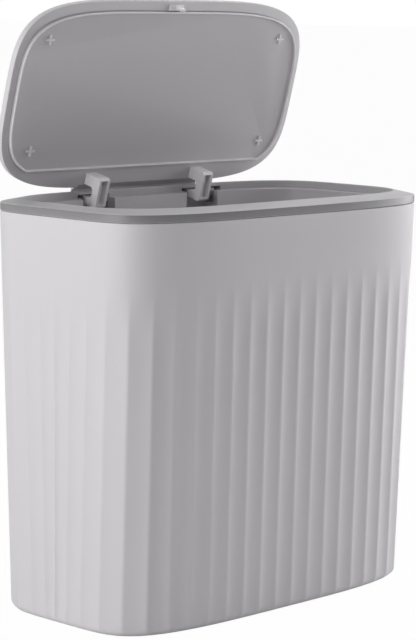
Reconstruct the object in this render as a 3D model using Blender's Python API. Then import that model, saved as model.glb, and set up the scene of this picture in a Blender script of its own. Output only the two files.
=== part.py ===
"""A slim fluted bin with a lift-off rim, a sprung press-to-open lid and a wall plate.

The origin is on the flat base, below the middle of the rim. +X runs along the bin, -Y is the
front and +Z is up. The lid is modelled shut and then swung open about its hinge pins.
"""

import math
from dataclasses import dataclass

import bmesh
import bpy
import numpy as np
from mathutils import Matrix, Vector

# Clearances that several pieces share
SEAT_GAP = 0.0003
CUT_OVERRUN = 0.004

# Bin body: plan at the seam, drafts of its sides, wall and floor
BODY_LENGTH = 0.290
BODY_DEPTH = 0.162
SEAM_HEIGHT = 0.264
BODY_WALL = 0.0020
FLOOR_THICKNESS = 0.0025
BASE_ROUNDING = 0.006
END_SLOPE = 0.0098
FRONT_SLOPE = 0.018
BACK_SLOPE = 0.030
PLAN_POWER_X = 3.6
SEAM_POWER_Y = 6.0
BASE_POWER_Y = 4.8

# Flutes: concave scallops between sharp ridges that fade into a plain band below the rim
FLUTE_COUNT = 52
FLUTE_STEPS = 3
FLUTE_DEPTH = 0.0012
FLUTE_FADE_DROP = 0.034
FLUTE_FADE_LENGTH = 0.045
FLUTE_END_HEIGHT = SEAM_HEIGHT - FLUTE_FADE_DROP
FLUTE_FULL_HEIGHT = FLUTE_END_HEIGHT - FLUTE_FADE_LENGTH
FLUTE_FADE_STEPS = 4
FLUTELESS_HALF_WIDTH = 0.031

# Hanging socket on the back of the body
SOCKET_HALF_WIDTH = 0.026
SOCKET_DROP = 0.022
SOCKET_HEIGHT = 0.052
SOCKET_TOP = SEAM_HEIGHT - SOCKET_DROP
SOCKET_BOTTOM = SOCKET_TOP - SOCKET_HEIGHT
SOCKET_ROOF = 0.004
SOCKET_LIP = 0.0020
SOCKET_SLOT_DEPTH = 0.0036
SOCKET_SLOT_SETBACK = 0.0003
SOCKET_ROOT_SETBACK = 0.0025
SOCKET_SLOT_FRONT = BODY_DEPTH / 2 - SOCKET_SLOT_SETBACK
SOCKET_ROOT = BODY_DEPTH / 2 - SOCKET_ROOT_SETBACK
SOCKET_BACK = SOCKET_SLOT_FRONT + SOCKET_SLOT_DEPTH + SOCKET_LIP
SOCKET_SLOT_HALF_WIDTH = 0.022
SOCKET_MOUTH_HALF_WIDTH = 0.018

# Wall plate that the socket drops over
PLATE_HEIGHT = 0.038
PLATE_PROUD = 0.0005
PLATE_LEAD_IN = 0.003
PLATE_HOLE_RADIUS = 0.0022
PLATE_SINK_RADIUS = 0.0042
PLATE_SINK_DEPTH = 0.0022
PLATE_HOLE_OFFSET = 0.011

# Rim: outer band, sloped top, crest, ledge for the lid, inner skirt and plug
RIM_BAND_HEIGHT = 0.0053
RIM_BAND_TOP = SEAM_HEIGHT + RIM_BAND_HEIGHT
RIM_EDGE_ROUNDING = 0.0005
CREST_RISE = 0.0026
CREST_HEIGHT = RIM_BAND_TOP + CREST_RISE
CREST_END_MARGIN = 0.0075
CREST_SIDE_MARGIN = 0.014
CREST_HALF_LENGTH = BODY_LENGTH / 2 - CREST_END_MARGIN
CREST_HALF_DEPTH = BODY_DEPTH / 2 - CREST_SIDE_MARGIN
CREST_POWER_X = 4.7
CREST_POWER_Y = 4.0
CREST_ROUNDING = 0.0010
LID_RECESS = 0.0053
LEDGE_HEIGHT = CREST_HEIGHT - LID_RECESS
LEDGE_WIDTH = 0.0055
RIM_WALL = 0.0016
SKIRT_HEIGHT = 0.0246
SKIRT_BOTTOM = LEDGE_HEIGHT - SKIRT_HEIGHT
PLUG_HEIGHT = 0.014
PLUG_BOTTOM = SEAM_HEIGHT - PLUG_HEIGHT
PLUG_GAP = 0.0006
PLUG_TAPER = 0.0006

# Lid cover: the shell that nests flush inside the crest
LID_GAP = 0.0009
LID_HINGE_GAP = 0.0026
LID_EDGE_ROUNDING = 0.0015
LID_CROWN = 0.0006
LID_SKIN = 0.0020
LID_LIP_CHAMFER = 0.0004
LIP_HEIGHT = LEDGE_HEIGHT + SEAT_GAP
LID_CEILING = CREST_HEIGHT - LID_SKIN

# Hood: a thin tongue of the lid that laps over the crest between the two hinge arms
HOOD_HALF_LENGTH = 0.040
HOOD_RELIEF = 0.0024
HOOD_GAP = 0.0008
HOOD_LIFT = 0.0003
HOOD_OVERLAP = 0.0013
HOOD_THICKNESS = 0.0008

# Hinge: axis, how far the lid stands open, arms, pins and torsion springs
HINGE_SETBACK = 0.0048
HINGE_DROP = 0.0057
HINGE_Y = CREST_HALF_DEPTH + HINGE_SETBACK
HINGE_Z = CREST_HEIGHT - HINGE_DROP
OPEN_ANGLE = math.radians(75.4)
HINGE_SPACING = 0.100
PIN_RADIUS = 0.0012
BARREL_RADIUS = 0.0028
ARM_WIDTH = 0.0095
ARM_DEPTH = 0.0142
SHANK_DEPTH = 0.0085
ARM_REACH = 0.0183
HEAD_LENGTH = 0.0078
ARM_BOTTOM = HINGE_Z - ARM_DEPTH
SHANK_TOP = HINGE_Z - SHANK_DEPTH
ARM_FRONT = HINGE_Y - ARM_REACH
HEAD_BACK = ARM_FRONT + HEAD_LENGTH
ARM_ROUNDING = 0.0016
SLOT_WIDTH = 0.0054
SLOT_WALL = 0.0016
SLOT_DEPTH = 0.0042
SLOT_BACK_REACH = 0.0003
SLOT_BACK = HINGE_Y - SLOT_BACK_REACH
HEAD_ROOF = 0.0036
SPRING_WIRE = 0.0007
SPRING_RADIUS = 0.00255
SPRING_PITCH = 0.0015
SPRING_WHOLE_TURNS = 10
SPRING_POINTS_PER_TURN = 9
SPRING_FIXED_ANGLE = math.radians(225.0)
SPRING_ARM_LEG = 0.008
SPRING_HOOK = 0.0032

# Lid liner: the inner panel with its raised rib and four cross-shaped bosses
LINER_END_MARGIN = 0.0055
LINER_FRONT_MARGIN = 0.0072
LINER_ARM_CLEARANCE = 0.003
LINER_HINGE_LINE = ARM_FRONT - LINER_ARM_CLEARANCE
LINER_RIB_DROP = 0.0025
LINER_RIB_BOTTOM = LIP_HEIGHT - LINER_RIB_DROP
LINER_RIB_WIDTH = 0.0014
LINER_RIB_ROUNDING = 0.0004
LINER_PANEL_DROP = 0.0007
LINER_PANEL_THICKNESS = 0.0018
LINER_PANEL_BOTTOM = LIP_HEIGHT - LINER_PANEL_DROP
LINER_PANEL_TOP = LINER_PANEL_BOTTOM + LINER_PANEL_THICKNESS
BOSS_END_MARGIN = 0.0266
BOSS_FRONT_MARGIN = 0.0266
BOSS_BACK_MARGIN = 0.0284
BOSS_LENGTH = 0.0070
BOSS_THICKNESS = 0.0013
BOSS_PROUD = 0.0012

# Hinge pockets moulded into the back of the rim
POCKET_INNER_REACH = 0.0135
POCKET_WINDOW_REACH = 0.0165
POCKET_SPRING_REACH = 0.025
POCKET_FLOOR_ROOM = 0.006
POCKET_BARREL_ROOM = 0.0004
POCKET_BACK_REACH = 0.0037
POCKET_BOTTOM = ARM_BOTTOM - POCKET_FLOOR_ROOM
POCKET_ROOF = HINGE_Z + BARREL_RADIUS + POCKET_BARREL_ROOM
POCKET_BACK = HINGE_Y + POCKET_BACK_REACH
POCKET_WALL = 0.0020
POCKET_BACK_WALL = 0.0011
SPRING_BAY_DEPTH = 0.0087
SPRING_BAY_BOTTOM = HINGE_Z - SPRING_BAY_DEPTH
SPRING_BAY_REACH_RIGHT = 0.0072
SPRING_BAY_REACH_LEFT = 0.0029
SPRING_BAY_FRONT_RIGHT = HINGE_Y - SPRING_BAY_REACH_RIGHT
SPRING_BAY_FRONT_LEFT = HINGE_Y - SPRING_BAY_REACH_LEFT

# Arm screws
SCREW_Y = (ARM_FRONT + HEAD_BACK) / 2
SCREW_RADIUS = 0.0012
SCREW_HEAD_RADIUS = 0.0020
SCREW_HEAD_HEIGHT = 0.0016
SCREW_DEPTH = 0.0034
SCREW_POINT = 0.0010

# Push latch in the front of the rim and its striker under the lid
LATCH_BAY_HALF_LENGTH = 0.0083
LATCH_BAY_MARGIN = 0.0008
LATCH_BAY_LENGTH = 0.0088
LATCH_BAY_FRONT = LATCH_BAY_MARGIN - CREST_HALF_DEPTH
LATCH_BAY_BACK = LATCH_BAY_FRONT + LATCH_BAY_LENGTH
LATCH_Y = (LATCH_BAY_FRONT + LATCH_BAY_BACK) / 2
LATCH_RIB_CLEARANCE = 0.0006
LATCH_BAY_DEPTH = 0.0238
LATCH_BAY_TOP = LINER_RIB_BOTTOM - LATCH_RIB_CLEARANCE
LATCH_BAY_FLOOR = LATCH_BAY_TOP - LATCH_BAY_DEPTH
LATCH_BAY_WALL = 0.0020
LATCH_CASE_WALL = 0.0013
PLUNGER_DROP = 0.0010
PLUNGER_HEIGHT = 0.0093
PLUNGER_SLOT_DEPTH = 0.0052
PLUNGER_TOP = LATCH_BAY_TOP - PLUNGER_DROP
PLUNGER_BOTTOM = PLUNGER_TOP - PLUNGER_HEIGHT
PLUNGER_SLOT_FLOOR = PLUNGER_TOP - PLUNGER_SLOT_DEPTH
PLUNGER_SLOT_WIDTH = 0.0058
PLUNGER_PEG_RADIUS = 0.0011
PLUNGER_PEG_LENGTH = 0.0030
LATCH_SPRING_RADIUS = 0.0019
LATCH_SPRING_WIRE = 0.0005
LATCH_SPRING_TURNS = 6
LATCH_SPRING_POINTS_PER_TURN = 9
STRIKER_BASE_LENGTH = 0.0135
STRIKER_BASE_DEPTH = 0.0038
STRIKER_BASE_THICKNESS = 0.0012
STRIKER_NECK_LENGTH = 0.0024
STRIKER_HEAD_LENGTH = 0.0044
STRIKER_DEPTH = 0.0018
STRIKER_CLEARANCE = 0.0006
STRIKER_BOTTOM = PLUNGER_SLOT_FLOOR + STRIKER_CLEARANCE
STRIKER_BARB_HEIGHT = 0.0022
STRIKER_PEG_RADIUS = 0.0008
STRIKER_PEG_LENGTH = 0.0022
STRIKER_PEG_OFFSET = 0.0048

# Numbers of facets, and the unit of what is printed
RIM_SAMPLES = 96
ROUND_SIDES = 24
SMALL_SIDES = 12
PLAN_TABLE_STEPS = 4096
SHARP_ANGLE = math.radians(32.0)
MILLIMETRES_PER_METRE = 1000

# Shares of a quarter turn that a small rounding is drawn with
ROUNDING_SHARES = (0.0, 1.0 / 3.0, 2.0 / 3.0, 1.0)


@dataclass(frozen=True)
class Plan:
    """A rounded plan outline, |x/a|^p + |y/b|^q = 1, with its own depth to the front and back."""

    half_length: float
    half_front: float
    half_back: float
    power_x: float
    power_y: float

    def points(self, angles, inset=0.0, back_line=None):
        """Points of the outline moved inward by inset, cut straight at back_line if given."""
        cosine = np.cos(angles)
        sine = np.sin(angles)
        half_y = np.where(sine < 0, self.half_front, self.half_back)
        x = self.half_length * np.sign(cosine) * np.abs(cosine) ** (2 / self.power_x)
        y = half_y * np.sign(sine) * np.abs(sine) ** (2 / self.power_y)
        share_x = np.abs(x) / self.half_length
        share_y = np.abs(y) / half_y
        slope_x = np.sign(x) * self.power_x * share_x ** (self.power_x - 1) / self.half_length
        slope_y = np.sign(y) * self.power_y * share_y ** (self.power_y - 1) / half_y
        steepness = np.hypot(slope_x, slope_y)
        x = x - inset * slope_x / steepness
        y = y - inset * slope_y / steepness
        if back_line is not None:
            y = np.minimum(y, back_line)
        return np.column_stack([x, y])

    def spread(self, count):
        """Angles of count points at equal steps along the outline, from the front middle."""
        steps = np.linspace(0, 1, PLAN_TABLE_STEPS)
        quarter = (steps * steps * (3 - 2 * steps)) * math.pi / 2
        table = np.concatenate([quarter[:-1] + turn * math.pi / 2 for turn in range(4)])
        table = np.append(table, 2 * math.pi) - math.pi / 2
        points = self.points(table)
        lengths = np.hypot(*np.diff(points, axis=0).T)
        run = np.concatenate([[0], np.cumsum(lengths)])
        return np.interp(np.arange(count) / count * run[-1], run, table)


def body_plan(height):
    """Plan of the body at a height: it narrows downward by its drafts."""
    drop = SEAM_HEIGHT - height
    rise_share = height / SEAM_HEIGHT
    return Plan(
        half_length=BODY_LENGTH / 2 - END_SLOPE * drop,
        half_front=BODY_DEPTH / 2 - FRONT_SLOPE * drop,
        half_back=BODY_DEPTH / 2 - BACK_SLOPE * drop,
        power_x=PLAN_POWER_X,
        power_y=BASE_POWER_Y + (SEAM_POWER_Y - BASE_POWER_Y) * rise_share,
    )


CREST_PLAN = Plan(CREST_HALF_LENGTH, CREST_HALF_DEPTH, CREST_HALF_DEPTH, CREST_POWER_X, CREST_POWER_Y)
LID_PLAN = Plan(
    CREST_HALF_LENGTH - LID_GAP,
    CREST_HALF_DEPTH - LID_GAP,
    CREST_HALF_DEPTH - LID_HINGE_GAP,
    CREST_POWER_X,
    CREST_POWER_Y,
)
LINER_PLAN = Plan(
    LID_PLAN.half_length - LINER_END_MARGIN,
    LID_PLAN.half_front - LINER_FRONT_MARGIN,
    LID_PLAN.half_back - LINER_END_MARGIN,
    CREST_POWER_X,
    CREST_POWER_Y,
)
HINGE_POINT = Vector((0, HINGE_Y, HINGE_Z))


def clear_scene():
    """Remove every object, so that the file holds this model alone."""
    for item in list(bpy.data.objects):
        bpy.data.objects.remove(item, do_unlink=True)


def make_material(name, colour, roughness, metallic=0.0):
    """Return a plain surface with one colour."""
    finish = bpy.data.materials.new(name)
    finish.use_nodes = True
    shader = finish.node_tree.nodes["Principled BSDF"]
    shader.inputs["Base Color"].default_value = (*colour, 1)
    shader.inputs["Roughness"].default_value = roughness
    shader.inputs["Metallic"].default_value = metallic
    return finish


def ring(outline, height):
    """Lift a flat outline to a height."""
    return [(x, y, height) for x, y in outline]


def join_rings(mesh, first, second):
    """Put faces between two rings with as many corners, or between one ring and half of it."""
    count = len(second)
    if len(first) == count:
        for index in range(count):
            after = (index + 1) % count
            mesh.faces.new((first[index], first[after], second[after], second[index]))
        return
    for index in range(count):
        after = (index + 1) % count
        middle = first[2 * index + 1]
        mesh.faces.new((first[2 * index], middle, second[index]))
        mesh.faces.new((middle, second[after], second[index]))
        mesh.faces.new((middle, first[(2 * index + 2) % len(first)], second[after]))


def skin(rings, closed=False):
    """Loft a list of rings, capped at both ends or joined from the last to the first."""
    mesh = bmesh.new()
    loops = [[mesh.verts.new(corner) for corner in outline] for outline in rings]
    for first, second in zip(loops, loops[1:]):
        join_rings(mesh, first, second)
    if closed:
        join_rings(mesh, loops[-1], loops[0])
    else:
        mesh.faces.new(loops[0])
        mesh.faces.new(loops[-1])
    bmesh.ops.recalc_face_normals(mesh, faces=mesh.faces)
    return mesh


def prism(outline, start, end, axis="Z"):
    """Extrude an outline along an axis: (y, z) corners for X, (x, z) for Y and (x, y) for Z."""
    order = {"X": lambda u, v, w: (w, u, v), "Y": lambda u, v, w: (u, w, v), "Z": lambda u, v, w: (u, v, w)}
    place = order[axis]
    return skin([[place(u, v, level) for u, v in outline] for level in (start, end)])


def block(low, high):
    """Box between two opposite corners."""
    outline = [(low[0], low[1]), (high[0], low[1]), (high[0], high[1]), (low[0], high[1])]
    return prism(outline, low[2], high[2])


def turned(profile, middle, axis="Z", sides=ROUND_SIDES):
    """Turn a profile of (radius, level) corners about an axis through the point middle."""
    order = {"X": lambda u, v, w: (w, u, v), "Y": lambda u, v, w: (u, w, v), "Z": lambda u, v, w: (u, v, w)}
    place = order[axis]
    angles = np.arange(sides) * 2 * math.pi / sides
    rings = []
    for radius, level in profile:
        corners = [place(radius * math.cos(turn), radius * math.sin(turn), level) for turn in angles]
        rings.append([tuple(np.add(corner, middle)) for corner in corners])
    return skin(rings)


def add_object(name, mesh, finish, pivot=None, parent=None):
    """Make a named object of a mesh, with its origin on the pivot where it has one."""
    if pivot is not None:
        bmesh.ops.translate(mesh, verts=mesh.verts, vec=-pivot)
    data = bpy.data.meshes.new(name)
    mesh.to_mesh(data)
    mesh.free()
    item = bpy.data.objects.new(name, data)
    bpy.context.scene.collection.objects.link(item)
    if finish is not None:
        data.materials.append(finish)
    data.shade_smooth()
    data.set_sharp_from_angle(angle=SHARP_ANGLE)
    if parent is not None:
        item.parent = parent
    elif pivot is not None:
        item.location = pivot
    return item


def combine(target, mesh, operation):
    """Cut a helper mesh out of an object, or weld it on."""
    count = len(target.modifiers)
    helper = add_object(f"{target.name}_helper_{count}", mesh, None)
    helper.hide_render = True
    helper.display_type = "WIRE"
    if target.parent is not None:
        helper.data.transform(Matrix.Translation(-HINGE_POINT))
        helper.parent = target.parent
    step = target.modifiers.new(f"{operation.lower()}_{count}", "BOOLEAN")
    step.operation = operation
    step.solver = "EXACT"
    step.object = helper


def cut(target, mesh):
    """Cut a helper mesh out of an object."""
    combine(target, mesh, "DIFFERENCE")


def weld(target, mesh):
    """Weld a helper mesh onto an object."""
    combine(target, mesh, "UNION")


def quarter_round(radius):
    """(inward, upward) steps of a quarter round that starts level and ends upright."""
    turns = [share * math.pi / 2 for share in ROUNDING_SHARES]
    return [(radius * (1 - math.sin(turn)), radius * (1 - math.cos(turn))) for turn in turns]


def flute_share(height):
    """How much of the flutes' depth a height has: all below the fade and none above it."""
    level = (FLUTE_END_HEIGHT - height) / (FLUTE_END_HEIGHT - FLUTE_FULL_HEIGHT)
    level = min(max(level, 0), 1)
    base_share = min(height / BASE_ROUNDING, 1)
    return level * level * (3 - 2 * level) * base_share


def make_body(finish):
    """The fluted shell, open at the top, with the hanging socket on its back."""
    seam_plan = body_plan(SEAM_HEIGHT)
    outer = seam_plan.spread(FLUTE_COUNT * FLUTE_STEPS)
    inner = outer[::2]
    steps = np.arange(len(outer)) % FLUTE_STEPS / FLUTE_STEPS
    scallop = 4 * steps * (1 - steps)
    seam_points = seam_plan.points(outer)
    plain = (np.abs(seam_points[:, 0]) < FLUTELESS_HALF_WIDTH) & (seam_points[:, 1] > 0)
    scallop = np.where(plain, 0, scallop)

    body_top = SEAM_HEIGHT - SEAT_GAP
    fade = np.linspace(FLUTE_FULL_HEIGHT, FLUTE_END_HEIGHT, FLUTE_FADE_STEPS + 1)
    straight = np.linspace(BASE_ROUNDING, FLUTE_FULL_HEIGHT, FLUTE_FADE_STEPS)[1:-1]

    rings = []
    for inward, upward in quarter_round(BASE_ROUNDING):
        depths = FLUTE_DEPTH * scallop * flute_share(upward)
        rings.append(ring(body_plan(upward).points(outer, inward + depths), upward))
    for height in (*straight, *fade, body_top):
        depths = FLUTE_DEPTH * scallop * flute_share(height)
        rings.append(ring(body_plan(height).points(outer, depths), height))
    for height in (body_top, *fade[::-2], BASE_ROUNDING):
        wall = BODY_WALL + FLUTE_DEPTH * flute_share(height)
        rings.append(ring(body_plan(height).points(inner, wall), height))
    floor_inset = BODY_WALL + FLUTE_DEPTH + BASE_ROUNDING - FLOOR_THICKNESS
    rings.append(ring(body_plan(FLOOR_THICKNESS).points(inner, floor_inset), FLOOR_THICKNESS))
    body = add_object("bin_body", skin(rings), finish)

    weld(body, block(
        (-SOCKET_HALF_WIDTH, SOCKET_ROOT, SOCKET_BOTTOM),
        (SOCKET_HALF_WIDTH, SOCKET_BACK, SOCKET_TOP),
    ))
    slot_back = SOCKET_BACK - SOCKET_LIP
    slot_top = SOCKET_TOP - SOCKET_ROOF
    cut(body, block(
        (-SOCKET_SLOT_HALF_WIDTH, SOCKET_SLOT_FRONT, SOCKET_BOTTOM - CUT_OVERRUN),
        (SOCKET_SLOT_HALF_WIDTH, slot_back, slot_top),
    ))
    cut(body, block(
        (-SOCKET_MOUTH_HALF_WIDTH, slot_back - SEAT_GAP, SOCKET_BOTTOM - CUT_OVERRUN),
        (SOCKET_MOUTH_HALF_WIDTH, SOCKET_BACK + CUT_OVERRUN, slot_top),
    ))
    return body


def make_wall_plate(finish):
    """The plate that is screwed to the wall: a flange in the socket's slot and a pad behind it."""
    flange_front = SOCKET_SLOT_FRONT + SEAT_GAP
    flange_back = SOCKET_BACK - SOCKET_LIP - SEAT_GAP
    flange_half = SOCKET_SLOT_HALF_WIDTH - SEAT_GAP
    pad_half = SOCKET_MOUTH_HALF_WIDTH - SEAT_GAP
    pad_back = SOCKET_BACK + PLATE_PROUD
    top = SOCKET_TOP - SOCKET_ROOF - SEAT_GAP
    bottom = top - PLATE_HEIGHT

    def tee(narrowing):
        """Outline of the flange and the pad, drawn in at the sides."""
        wide = flange_half - narrowing
        slim = pad_half - narrowing
        return [
            (-wide, flange_front), (wide, flange_front), (wide, flange_back), (slim, flange_back),
            (slim, pad_back), (-slim, pad_back), (-slim, flange_back), (-wide, flange_back),
        ]

    levels = ((0, bottom), (0, top - PLATE_LEAD_IN), (PLATE_LEAD_IN / 2, top))
    plate = add_object("wall_plate", skin([ring(tee(narrow), level) for narrow, level in levels]), finish)
    middle = (bottom + top) / 2
    for side in (-1, 1):
        centre = (0, 0, middle + side * PLATE_HOLE_OFFSET)
        profile = [
            (PLATE_SINK_RADIUS, flange_front - CUT_OVERRUN),
            (PLATE_SINK_RADIUS, flange_front + SEAT_GAP),
            (PLATE_HOLE_RADIUS, flange_front + PLATE_SINK_DEPTH),
            (PLATE_HOLE_RADIUS, pad_back + CUT_OVERRUN),
        ]
        cut(plate, turned(profile, centre, "Y", ROUND_SIDES))
    return plate


def hinge_centres():
    """X of the left and the right hinge arm."""
    return {"left": -HINGE_SPACING / 2, "right": HINGE_SPACING / 2}


def make_rim(finish):
    """The lift-off rim: one moulded channel with hinge pockets behind and a latch bay in front."""
    seam_plan = body_plan(SEAM_HEIGHT)
    band = seam_plan.spread(RIM_SAMPLES)
    crest = CREST_PLAN.spread(RIM_SAMPLES)
    plug_outside = BODY_WALL + PLUG_GAP
    plug_inside = plug_outside + RIM_WALL
    skirt_outside = LEDGE_WIDTH - RIM_WALL
    ledge_underside = LEDGE_HEIGHT - RIM_WALL
    crest_shoulder = CREST_ROUNDING / 3

    def band_ring(inset, height):
        """Ring that follows the outside of the body."""
        return ring(seam_plan.points(band, inset), height)

    def crest_ring(inset, height):
        """Ring that follows the opening."""
        return ring(CREST_PLAN.points(crest, inset), height)

    rings = [
        band_ring(0, SEAM_HEIGHT),
        band_ring(0, RIM_BAND_TOP - RIM_EDGE_ROUNDING),
        band_ring(RIM_EDGE_ROUNDING, RIM_BAND_TOP),
        crest_ring(-CREST_ROUNDING, CREST_HEIGHT),
        crest_ring(-crest_shoulder, CREST_HEIGHT - crest_shoulder),
        crest_ring(0, CREST_HEIGHT - CREST_ROUNDING),
        crest_ring(0, LEDGE_HEIGHT),
        crest_ring(LEDGE_WIDTH - RIM_EDGE_ROUNDING, LEDGE_HEIGHT),
        crest_ring(LEDGE_WIDTH, LEDGE_HEIGHT - RIM_EDGE_ROUNDING),
        crest_ring(LEDGE_WIDTH, SKIRT_BOTTOM),
        crest_ring(skirt_outside, SKIRT_BOTTOM),
        crest_ring(skirt_outside, ledge_underside),
        crest_ring(-RIM_WALL, ledge_underside),
        crest_ring(-RIM_WALL, CREST_HEIGHT - RIM_WALL),
        band_ring(plug_inside, RIM_BAND_TOP - RIM_WALL),
        band_ring(plug_inside, PLUG_BOTTOM),
        band_ring(plug_outside + PLUG_TAPER, PLUG_BOTTOM),
        band_ring(plug_outside, SEAM_HEIGHT),
    ]
    rim = add_object("rim_frame", skin(rings, closed=True), finish)

    skirt_back = CREST_HALF_DEPTH - skirt_outside
    deck_front = CREST_HALF_DEPTH + CREST_ROUNDING
    housing_back = POCKET_BACK + POCKET_BACK_WALL
    housing = [
        (skirt_back - RIM_WALL / 2, POCKET_BOTTOM - POCKET_WALL),
        (housing_back, POCKET_BOTTOM - POCKET_WALL),
        (housing_back, RIM_BAND_TOP - RIM_EDGE_ROUNDING),
        (deck_front, CREST_HEIGHT - CREST_ROUNDING),
        (deck_front, LEDGE_HEIGHT - RIM_WALL / 2),
        (skirt_back - RIM_WALL / 2, LEDGE_HEIGHT - RIM_WALL / 2),
    ]
    for centre in hinge_centres().values():
        housing_start = centre - POCKET_INNER_REACH - POCKET_WALL
        housing_end = centre + POCKET_SPRING_REACH + POCKET_WALL
        weld(rim, prism(housing, housing_start, housing_end, "X"))
    weld(rim, prism([
        (LATCH_BAY_FRONT - LATCH_BAY_WALL, LATCH_BAY_FLOOR - LATCH_BAY_WALL),
        (LATCH_BAY_BACK + LATCH_BAY_WALL, LATCH_BAY_FLOOR - LATCH_BAY_WALL),
        (LATCH_BAY_BACK + LATCH_BAY_WALL, LATCH_BAY_TOP),
        (RIM_WALL / 2 - skirt_back, LATCH_BAY_TOP),
        (RIM_WALL / 2 - skirt_back, LEDGE_HEIGHT - RIM_WALL / 2),
        (LATCH_BAY_FRONT - LATCH_BAY_WALL, LEDGE_HEIGHT - RIM_WALL / 2),
    ], -LATCH_BAY_HALF_LENGTH - LATCH_BAY_WALL, LATCH_BAY_HALF_LENGTH + LATCH_BAY_WALL, "X"))

    bay_fronts = {"left": SPRING_BAY_FRONT_LEFT, "right": SPRING_BAY_FRONT_RIGHT}
    skirt_front = CREST_HALF_DEPTH - LEDGE_WIDTH
    for side, centre in hinge_centres().items():
        cut(rim, block(
            (centre - POCKET_INNER_REACH, skirt_front - CUT_OVERRUN, POCKET_BOTTOM),
            (centre + POCKET_WINDOW_REACH, POCKET_BACK, POCKET_ROOF),
        ))
        cut(rim, block(
            (centre + POCKET_WINDOW_REACH - RIM_WALL, bay_fronts[side], SPRING_BAY_BOTTOM),
            (centre + POCKET_SPRING_REACH, POCKET_BACK, POCKET_ROOF),
        ))
        bore = PIN_RADIUS + SEAT_GAP
        start = centre - POCKET_INNER_REACH - POCKET_WALL - CUT_OVERRUN
        end = centre + POCKET_SPRING_REACH + POCKET_WALL + CUT_OVERRUN
        cut(rim, turned([(bore, start), (bore, end)], HINGE_POINT, "X", SMALL_SIDES))
    cut(rim, block(
        (-LATCH_BAY_HALF_LENGTH, LATCH_BAY_FRONT, LATCH_BAY_FLOOR),
        (LATCH_BAY_HALF_LENGTH, LATCH_BAY_BACK, LEDGE_HEIGHT + CUT_OVERRUN),
    ))
    return rim


def hood_profiles():
    """Side views of the hood with the lid shut, and of the hollow that is cut under it."""
    lip_back = LID_PLAN.half_back
    shoulder = lip_back - LID_EDGE_ROUNDING
    tip = CREST_HALF_DEPTH + HOOD_OVERLAP
    underside = CREST_HEIGHT + HOOD_LIFT
    top = underside + HOOD_THICKNESS
    shape = [
        (shoulder, LIP_HEIGHT + LID_LIP_CHAMFER), (tip, underside), (tip, top),
        (CREST_HALF_DEPTH, top), (shoulder, CREST_HEIGHT),
    ]
    relief = [
        (lip_back - HOOD_RELIEF, LIP_HEIGHT - CUT_OVERRUN), (tip + CUT_OVERRUN, LIP_HEIGHT - CUT_OVERRUN),
        (tip + CUT_OVERRUN, underside), (CREST_HALF_DEPTH, underside),
        (CREST_HALF_DEPTH - HOOD_GAP, CREST_HEIGHT - HOOD_GAP), (lip_back - HOOD_RELIEF, LIP_HEIGHT),
    ]
    return shape, relief


def make_lid_cover(finish, lid_axis):
    """The lid's outer shell: a low dome with a broad flat lip that rests on the ledge."""
    around = LID_PLAN.spread(RIM_SAMPLES)
    recess_margin = -SEAT_GAP
    rounding = quarter_round(LID_EDGE_ROUNDING)
    rings = [ring(LID_PLAN.points(around, LID_PLAN.half_front / 2), CREST_HEIGHT + LID_CROWN)]
    for inward, upward in rounding:
        rings.append(ring(LID_PLAN.points(around, inward), CREST_HEIGHT - upward))
    rings += [
        ring(LID_PLAN.points(around, 0), LIP_HEIGHT + LID_LIP_CHAMFER),
        ring(LID_PLAN.points(around, LID_LIP_CHAMFER), LIP_HEIGHT),
        ring(LINER_PLAN.points(around, recess_margin, LINER_HINGE_LINE + SEAT_GAP), LIP_HEIGHT),
        ring(LINER_PLAN.points(around, recess_margin, LINER_HINGE_LINE + SEAT_GAP), LID_CEILING),
    ]
    cover = add_object("lid_cover", skin(rings), finish, HINGE_POINT, lid_axis)

    shape, relief = hood_profiles()
    weld(cover, prism(shape, -HOOD_HALF_LENGTH, HOOD_HALF_LENGTH, "X"))
    cut(cover, prism(relief, -HOOD_HALF_LENGTH - SEAT_GAP, HOOD_HALF_LENGTH + SEAT_GAP, "X"))
    bore = SCREW_RADIUS + SEAT_GAP
    for centre in hinge_centres().values():
        profile = [(bore, LIP_HEIGHT - CUT_OVERRUN), (bore, LIP_HEIGHT + SCREW_DEPTH + SEAT_GAP)]
        cut(cover, turned(profile, (centre, SCREW_Y, 0), "Z", SMALL_SIDES))
    peg = STRIKER_PEG_RADIUS + SEAT_GAP
    for side in (-1, 1):
        profile = [(peg, LIP_HEIGHT - CUT_OVERRUN), (peg, LIP_HEIGHT + STRIKER_PEG_LENGTH)]
        cut(cover, turned(profile, (side * STRIKER_PEG_OFFSET, LATCH_Y, 0), "Z", SMALL_SIDES))
    return cover


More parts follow.
